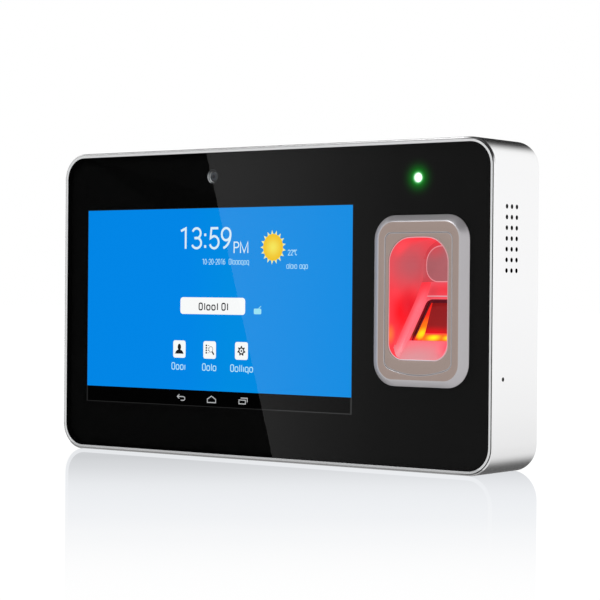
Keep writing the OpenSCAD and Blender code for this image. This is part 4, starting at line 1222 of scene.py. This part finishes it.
def shell_look():
    """Satin anodised aluminium with painted shade: its right side darkens towards its foot, its front face is darkened
    at its foot and round the top right corner, and inside the skin, as in the grille's holes, it is painted dark.
    """
    look = Look("shell_aluminium")
    across, depth, up = (look.axis(letter) for letter in "XYZ")
    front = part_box("shell")[0].y
    fine = look.noise(5200.0, 4.0, 0.6)
    bright = look.ramp(fine, (0.25, (0.905, 0.905, 0.91)), (0.75, (0.945, 0.945, 0.95)))
    # Painted shade: the right side grows darker towards its foot.
    rise = look.ramp(look.span(up, 0.0, 0.075), (0.0, 0.74), (0.09, 0.76), (0.115, 0.82), (0.17, 0.87), (0.22, 0.89),
                     (0.35, 0.93), (0.58, 0.97), (1.0, 1.0))
    painted_shade = look.mix(look.above(across, (BODY_X[1] - 9.0) * MM), 1.0, rise)
    face = look.below(depth, front + 0.6 * MM)
    # Painted shade on the front face's lowest 3 mm.
    painted_shade = look.mix(look.times(face, look.below(up, 3.0 * MM)), painted_shade, 0.42)
    # Painted shade: the front rim round the top right corner is near black.
    corner = look.times(look.span(across, (BODY_X[1] - 15) * MM, (BODY_X[1] - 11) * MM),
                        look.span(up, (BODY_Z[1] - 12) * MM, (BODY_Z[1] - 8) * MM))
    painted_shade = look.mix(look.times(face, corner), painted_shade, 0.06)
    # Painted shade: the walls of the grille's holes are near black and not metallic.
    inside = look.times(look.below(across, (BODY_X[1] - 0.07) * MM), look.above(across, (BODY_X[1] - 4.0) * MM))
    between = look.within(depth, *(row_point(0, place, 0).y for place in GRILLE_DEPTH))
    hole_shade = look.times(inside, look.times(between, look.within(up, *GRILLE_UP)))
    satin = look.principled(Base_Color=look.mix(hole_shade, look.vector("MULTIPLY", bright, painted_shade), 0.004),
                            Metallic=look.math("SUBTRACT", 1.0, hole_shade), Roughness=look.between(fine, 0.18, 0.26),
                            Normal=look.bump(fine, 0.03))
    # The groove round the ring takes its painted light.
    groove = look.times(look.within(depth, front + 0.2 * MM, front + 3.0 * MM),
                        look.math("SUBTRACT", 1.0, look.near_outline(0.55, BODY_X, BODY_Z, BODY_R)))
    return look.done(look.blend(groove, satin, groove_glow(look)))


def slot_looks():
    """Each slot's look: its maker, and what that takes, such as colour, roughness, grain, relief and spread."""
    green_led = row_point(middle(LED_X), LED_DEPTH[1], middle(LED_Z))
    amber_leds = row_point(READER_X, 11.5, CELL_Z[0] - 1)
    table = {
        "satin_aluminium": (metal, (0.93, 0.93, 0.935), 0.30, 5200.0, 0.03, 0.03),
        "bright_ring": (ring_look,),
        "cover_glass": (cover_glass,),
        "black_print": (black_print,),
        "black_foam": (plastic, (0.014, 0.014, 0.016), 0.9, 1500.0, 0.6, 0.25, 0.0, True),
        "frame_plastic": (plastic, (0.035, 0.037, 0.040), 0.55, 2600.0, 0.35),
        "plated_steel": (metal, (0.60, 0.61, 0.62), 0.26, 1500.0, 0.05, 0.08, 1.0, (1, 1, 8)),
        "lcd_glass": (display_glow,),
        "light_guide": (plastic, (0.86, 0.87, 0.85), 0.45, 1800.0, 0.05, 0.03),
        "flex_copper": (flat_cable,),
        "circuit_board": (circuit_board,),
        "chip_black": (plastic, (0.018, 0.018, 0.020), 0.5, 3000.0, 0.3),
        "camera_glass": (clear_part, (0.25, 0.32, 0.45), 0.04),
        "light_pipe": (clear_part, (0.7, 0.95, 0.76), 0.08),
        "led_green": (lit_led, (0.6, 1.0, 0.65), (0.02, 0.9, 0.12), green_led, 2.0, 1.5),
        "bezel_paint": (metallic_paint, (0.308, 0.238, 0.210), 0.3, 0.38),
        "red_guide": (glowing, (0.9, 0.03, 0.05)),
        "prism_glass": (plastic, (0.10, 0.004, 0.004), 0.1, 1800.0, 0.02, 0.2, 1.0),
        "led_amber": (lit_led, (1.0, 0.85, 0.05), (1.0, 0.30, 0.01), amber_leds, 14.0, 2.0),
        "black_plastic": (plastic, (0.016, 0.017, 0.019), 0.42, 2600.0, 0.3),
        "relay_blue": (plastic, (0.02, 0.07, 0.30), 0.3, 900.0, 0.08),
        "terminal_green": (plastic, (0.03, 0.26, 0.06), 0.35, 1200.0, 0.12),
        "battery_wrap": (plastic, (0.20, 0.24, 0.30), 0.3, 260.0, 0.35),
        "speaker_paper": (plastic, (0.04, 0.04, 0.044), 0.75, 900.0, 0.5),
        "plunger_white": (plastic, (0.78, 0.76, 0.70), 0.35, 1400.0, 0.06, 0.04),
        "plunger_ochre": (plastic, (0.50, 0.36, 0.06), 0.35, 1400.0, 0.06, 0.08),
        "spring_steel": (metal, (0.62, 0.63, 0.65), 0.2, 3000.0),
        "plate_steel": (metal, (0.52, 0.535, 0.55), 0.42, 2200.0, 0.15, 0.08, 0.8),
    }
    return {slot: make(slot, *values) for slot, (make, *values) in table.items()}


def guide_looks():
    """The red guide's surfaces, each with the patches of painted light that it shows: painted glow, highlights,
    reflections and shade.
    """
    lip = glowing("guide_lip", srgb(222, 158, 164), (srgb(212, 204, 210), (0.0, -2.6, 45.0), 14.0, (0.5, 1.0, 1.0)),
                  (srgb(186, 150, 150), (15.5, -2.6, 72.0), 20.0, (1.0, 1.0, 0.6)), gloss=0.3, emit=0.55)
    wall = glowing("guide_wall", srgb(246, 60, 72),
                   (srgb(188, 96, 104), (-14.3, 14.0, 86.5), 25.0, (1.0, 0.75, 1.45)),
                   (srgb(255, 78, 88), (-14.3, 3.0, 96.0), 8.0),
                   (srgb(246, 8, 26), (-14.3, 7.0, 66.0), 10.5, (1.0, 1.0, 0.9)),
                   (srgb(222, 26, 42), (-14.3, 13.0, 70.0), 8.0, (1.0, 0.8, 0.8)),
                   (srgb(255, 118, 60), (-14.3, -1.4, 57.5), 5.5, (1.0, 1.2, 1.0)),
                   (srgb(255, 24, 40), (0.0, 6.0, 98.0), 13.0))
    rail = glowing("guide_rail", srgb(255, 116, 130), (srgb(216, 138, 146), (-12.0, -2.0, 47.5), 11.0),
                   (srgb(246, 58, 72), (-12.0, 22.0, 80.0), 13.0), side=(srgb(240, 50, 66), -14.6, -11.6))
    ramp = glowing("guide_ramp", srgb(236, 100, 114), (srgb(230, 52, 66), (0.0, 18.0, 76.5), 14.0, (0.5, 1.0, 2.0)),
                   (srgb(186, 64, 74), (-7.5, 18.0, 76.5), 4.5),
                   (srgb(202, 136, 142), (-1.0, -1.5, 47.5), 12.0, (0.5, 1.0, 1.0)),
                   (srgb(255, 70, 96), (13.0, 3.0, 52.0), 8.0))
    back = glowing("guide_back", srgb(202, 66, 76), (srgb(240, 60, 74), (-4.0, 22.0, 99.0), 7.0, (0.5, 1.0, 1.0)),
                   (srgb(196, 80, 88), (-13.0, 23.0, 84.0), 9.0))
    # The prism's opening: painted shade in the recess, with a painted glow near its foot.
    cell = glowing("guide_recess", srgb(112, 16, 30), (srgb(255, 40, 60), (-9.0, 5.0, 54.5), 4.0), emit=0.6)
    # The stop's rim, which also covers the ridge over the prism, is a pale painted highlight.
    rim = glowing("guide_stop_rim", srgb(226, 150, 158),
                  (srgb(204, 170, 180), (0.0, 18.0, RIDGE_Z[0]), 6.0, (0.4, 1.0, 1.0)))
    pad = glowing("guide_stop", srgb(170, 106, 112), (srgb(214, 84, 94), (-8.0, 23.0, 96.0), 9.0), emit=0.62)
    return [lip, wall, rail, ramp, back, cell, rim, pad]


def prism_looks():
    """The prism's face, lit side, mask and lit foot, in that order, all in painted light: glowing colours with patches
    of painted glow and shade.
    """
    foot = CELL_Z[0]
    depth = RAMP_START + (foot - WINDOW_LOW) * RAMP_SLOPE + CELL_SINK
    smooth = {"gloss": 0.15, "relief": 0.01, "emit": 0.8}
    face = glowing("prism_face", srgb(126, 24, 24),
                   (srgb(92, 30, 30), (7.0, depth + 10.0, foot + 12.5), 7.0, (1.0, 0.6, 0.8)),
                   (srgb(206, 8, 18), (0.0, depth + 2.5, foot + 3.0), 5.0, (0.3, 1.0, 1.0)), **smooth)
    side = glowing("prism_side", srgb(240, 36, 26),
                   (srgb(255, 120, 14), (-5.6, depth + 5.0, foot + 5.6), 6.4, (1.0, 1.0, 0.8)),
                   (srgb(255, 226, 24), (-5.4, depth + 2.4, foot + 2.6), 4.2, (1.2, 1.0, 0.8)),
                   (srgb(255, 60, 30), (-6.8, depth, foot + 0.2), 1.6), **smooth)
    mask = glowing("prism_frame", srgb(92, 22, 34),
                   (srgb(214, 10, 26), (-7.8, depth, foot + 0.6), 3.4, (0.6, 1.0, 1.0)), emit=0.6)
    edge = glowing("prism_edge", srgb(255, 110, 24),
                   (srgb(255, 234, 20), (1.4, depth + 1.1, foot + 1.3), 3.4, (0.72, 1.0, 1.5)),
                   (srgb(255, 234, 20), (8.8, depth + 1.1, foot + 1.3), 2.8, (0.72, 1.0, 1.5)),
                   (srgb(240, 60, 60), (0.0, depth + 2.6, foot + 3.2), 1.5, (0.1, 1.0, 1.0)), **smooth)
    return [face, side, mask, edge]


# ---------- the model ----------

place_camera()
studio()
looks = slot_looks()
for part in frame["record"]["subparts"]:
    NODES[part["node"]].material_slots[0].material = looks[part["material_slot"]]
paints = (looks["bezel_paint"], metallic_paint("bevel_paint", (0.445, 0.43, 0.445), 0.75, 0.30))
piece(reader_bezel(*paints), "bezel_paint", "fp_bezel")
piece(reader_inlay(*paints), "bezel_paint", "fp_inlay")
piece(finger_guide(guide_looks()), "red_guide", "fp_guide")
piece(prism(prism_looks()), "prism_glass", "fp_prism")
display_picture()
piece(status_lens(), "light_pipe", "light_pipe")
piece(camera_eye(), "camera_glass", "camera_lens")
piece(camera_rim(), "frame_plastic", "camera_barrel")
tamper_coil(looks["spring_steel"])
NODES["shell"].material_slots[0].material = shell_look()
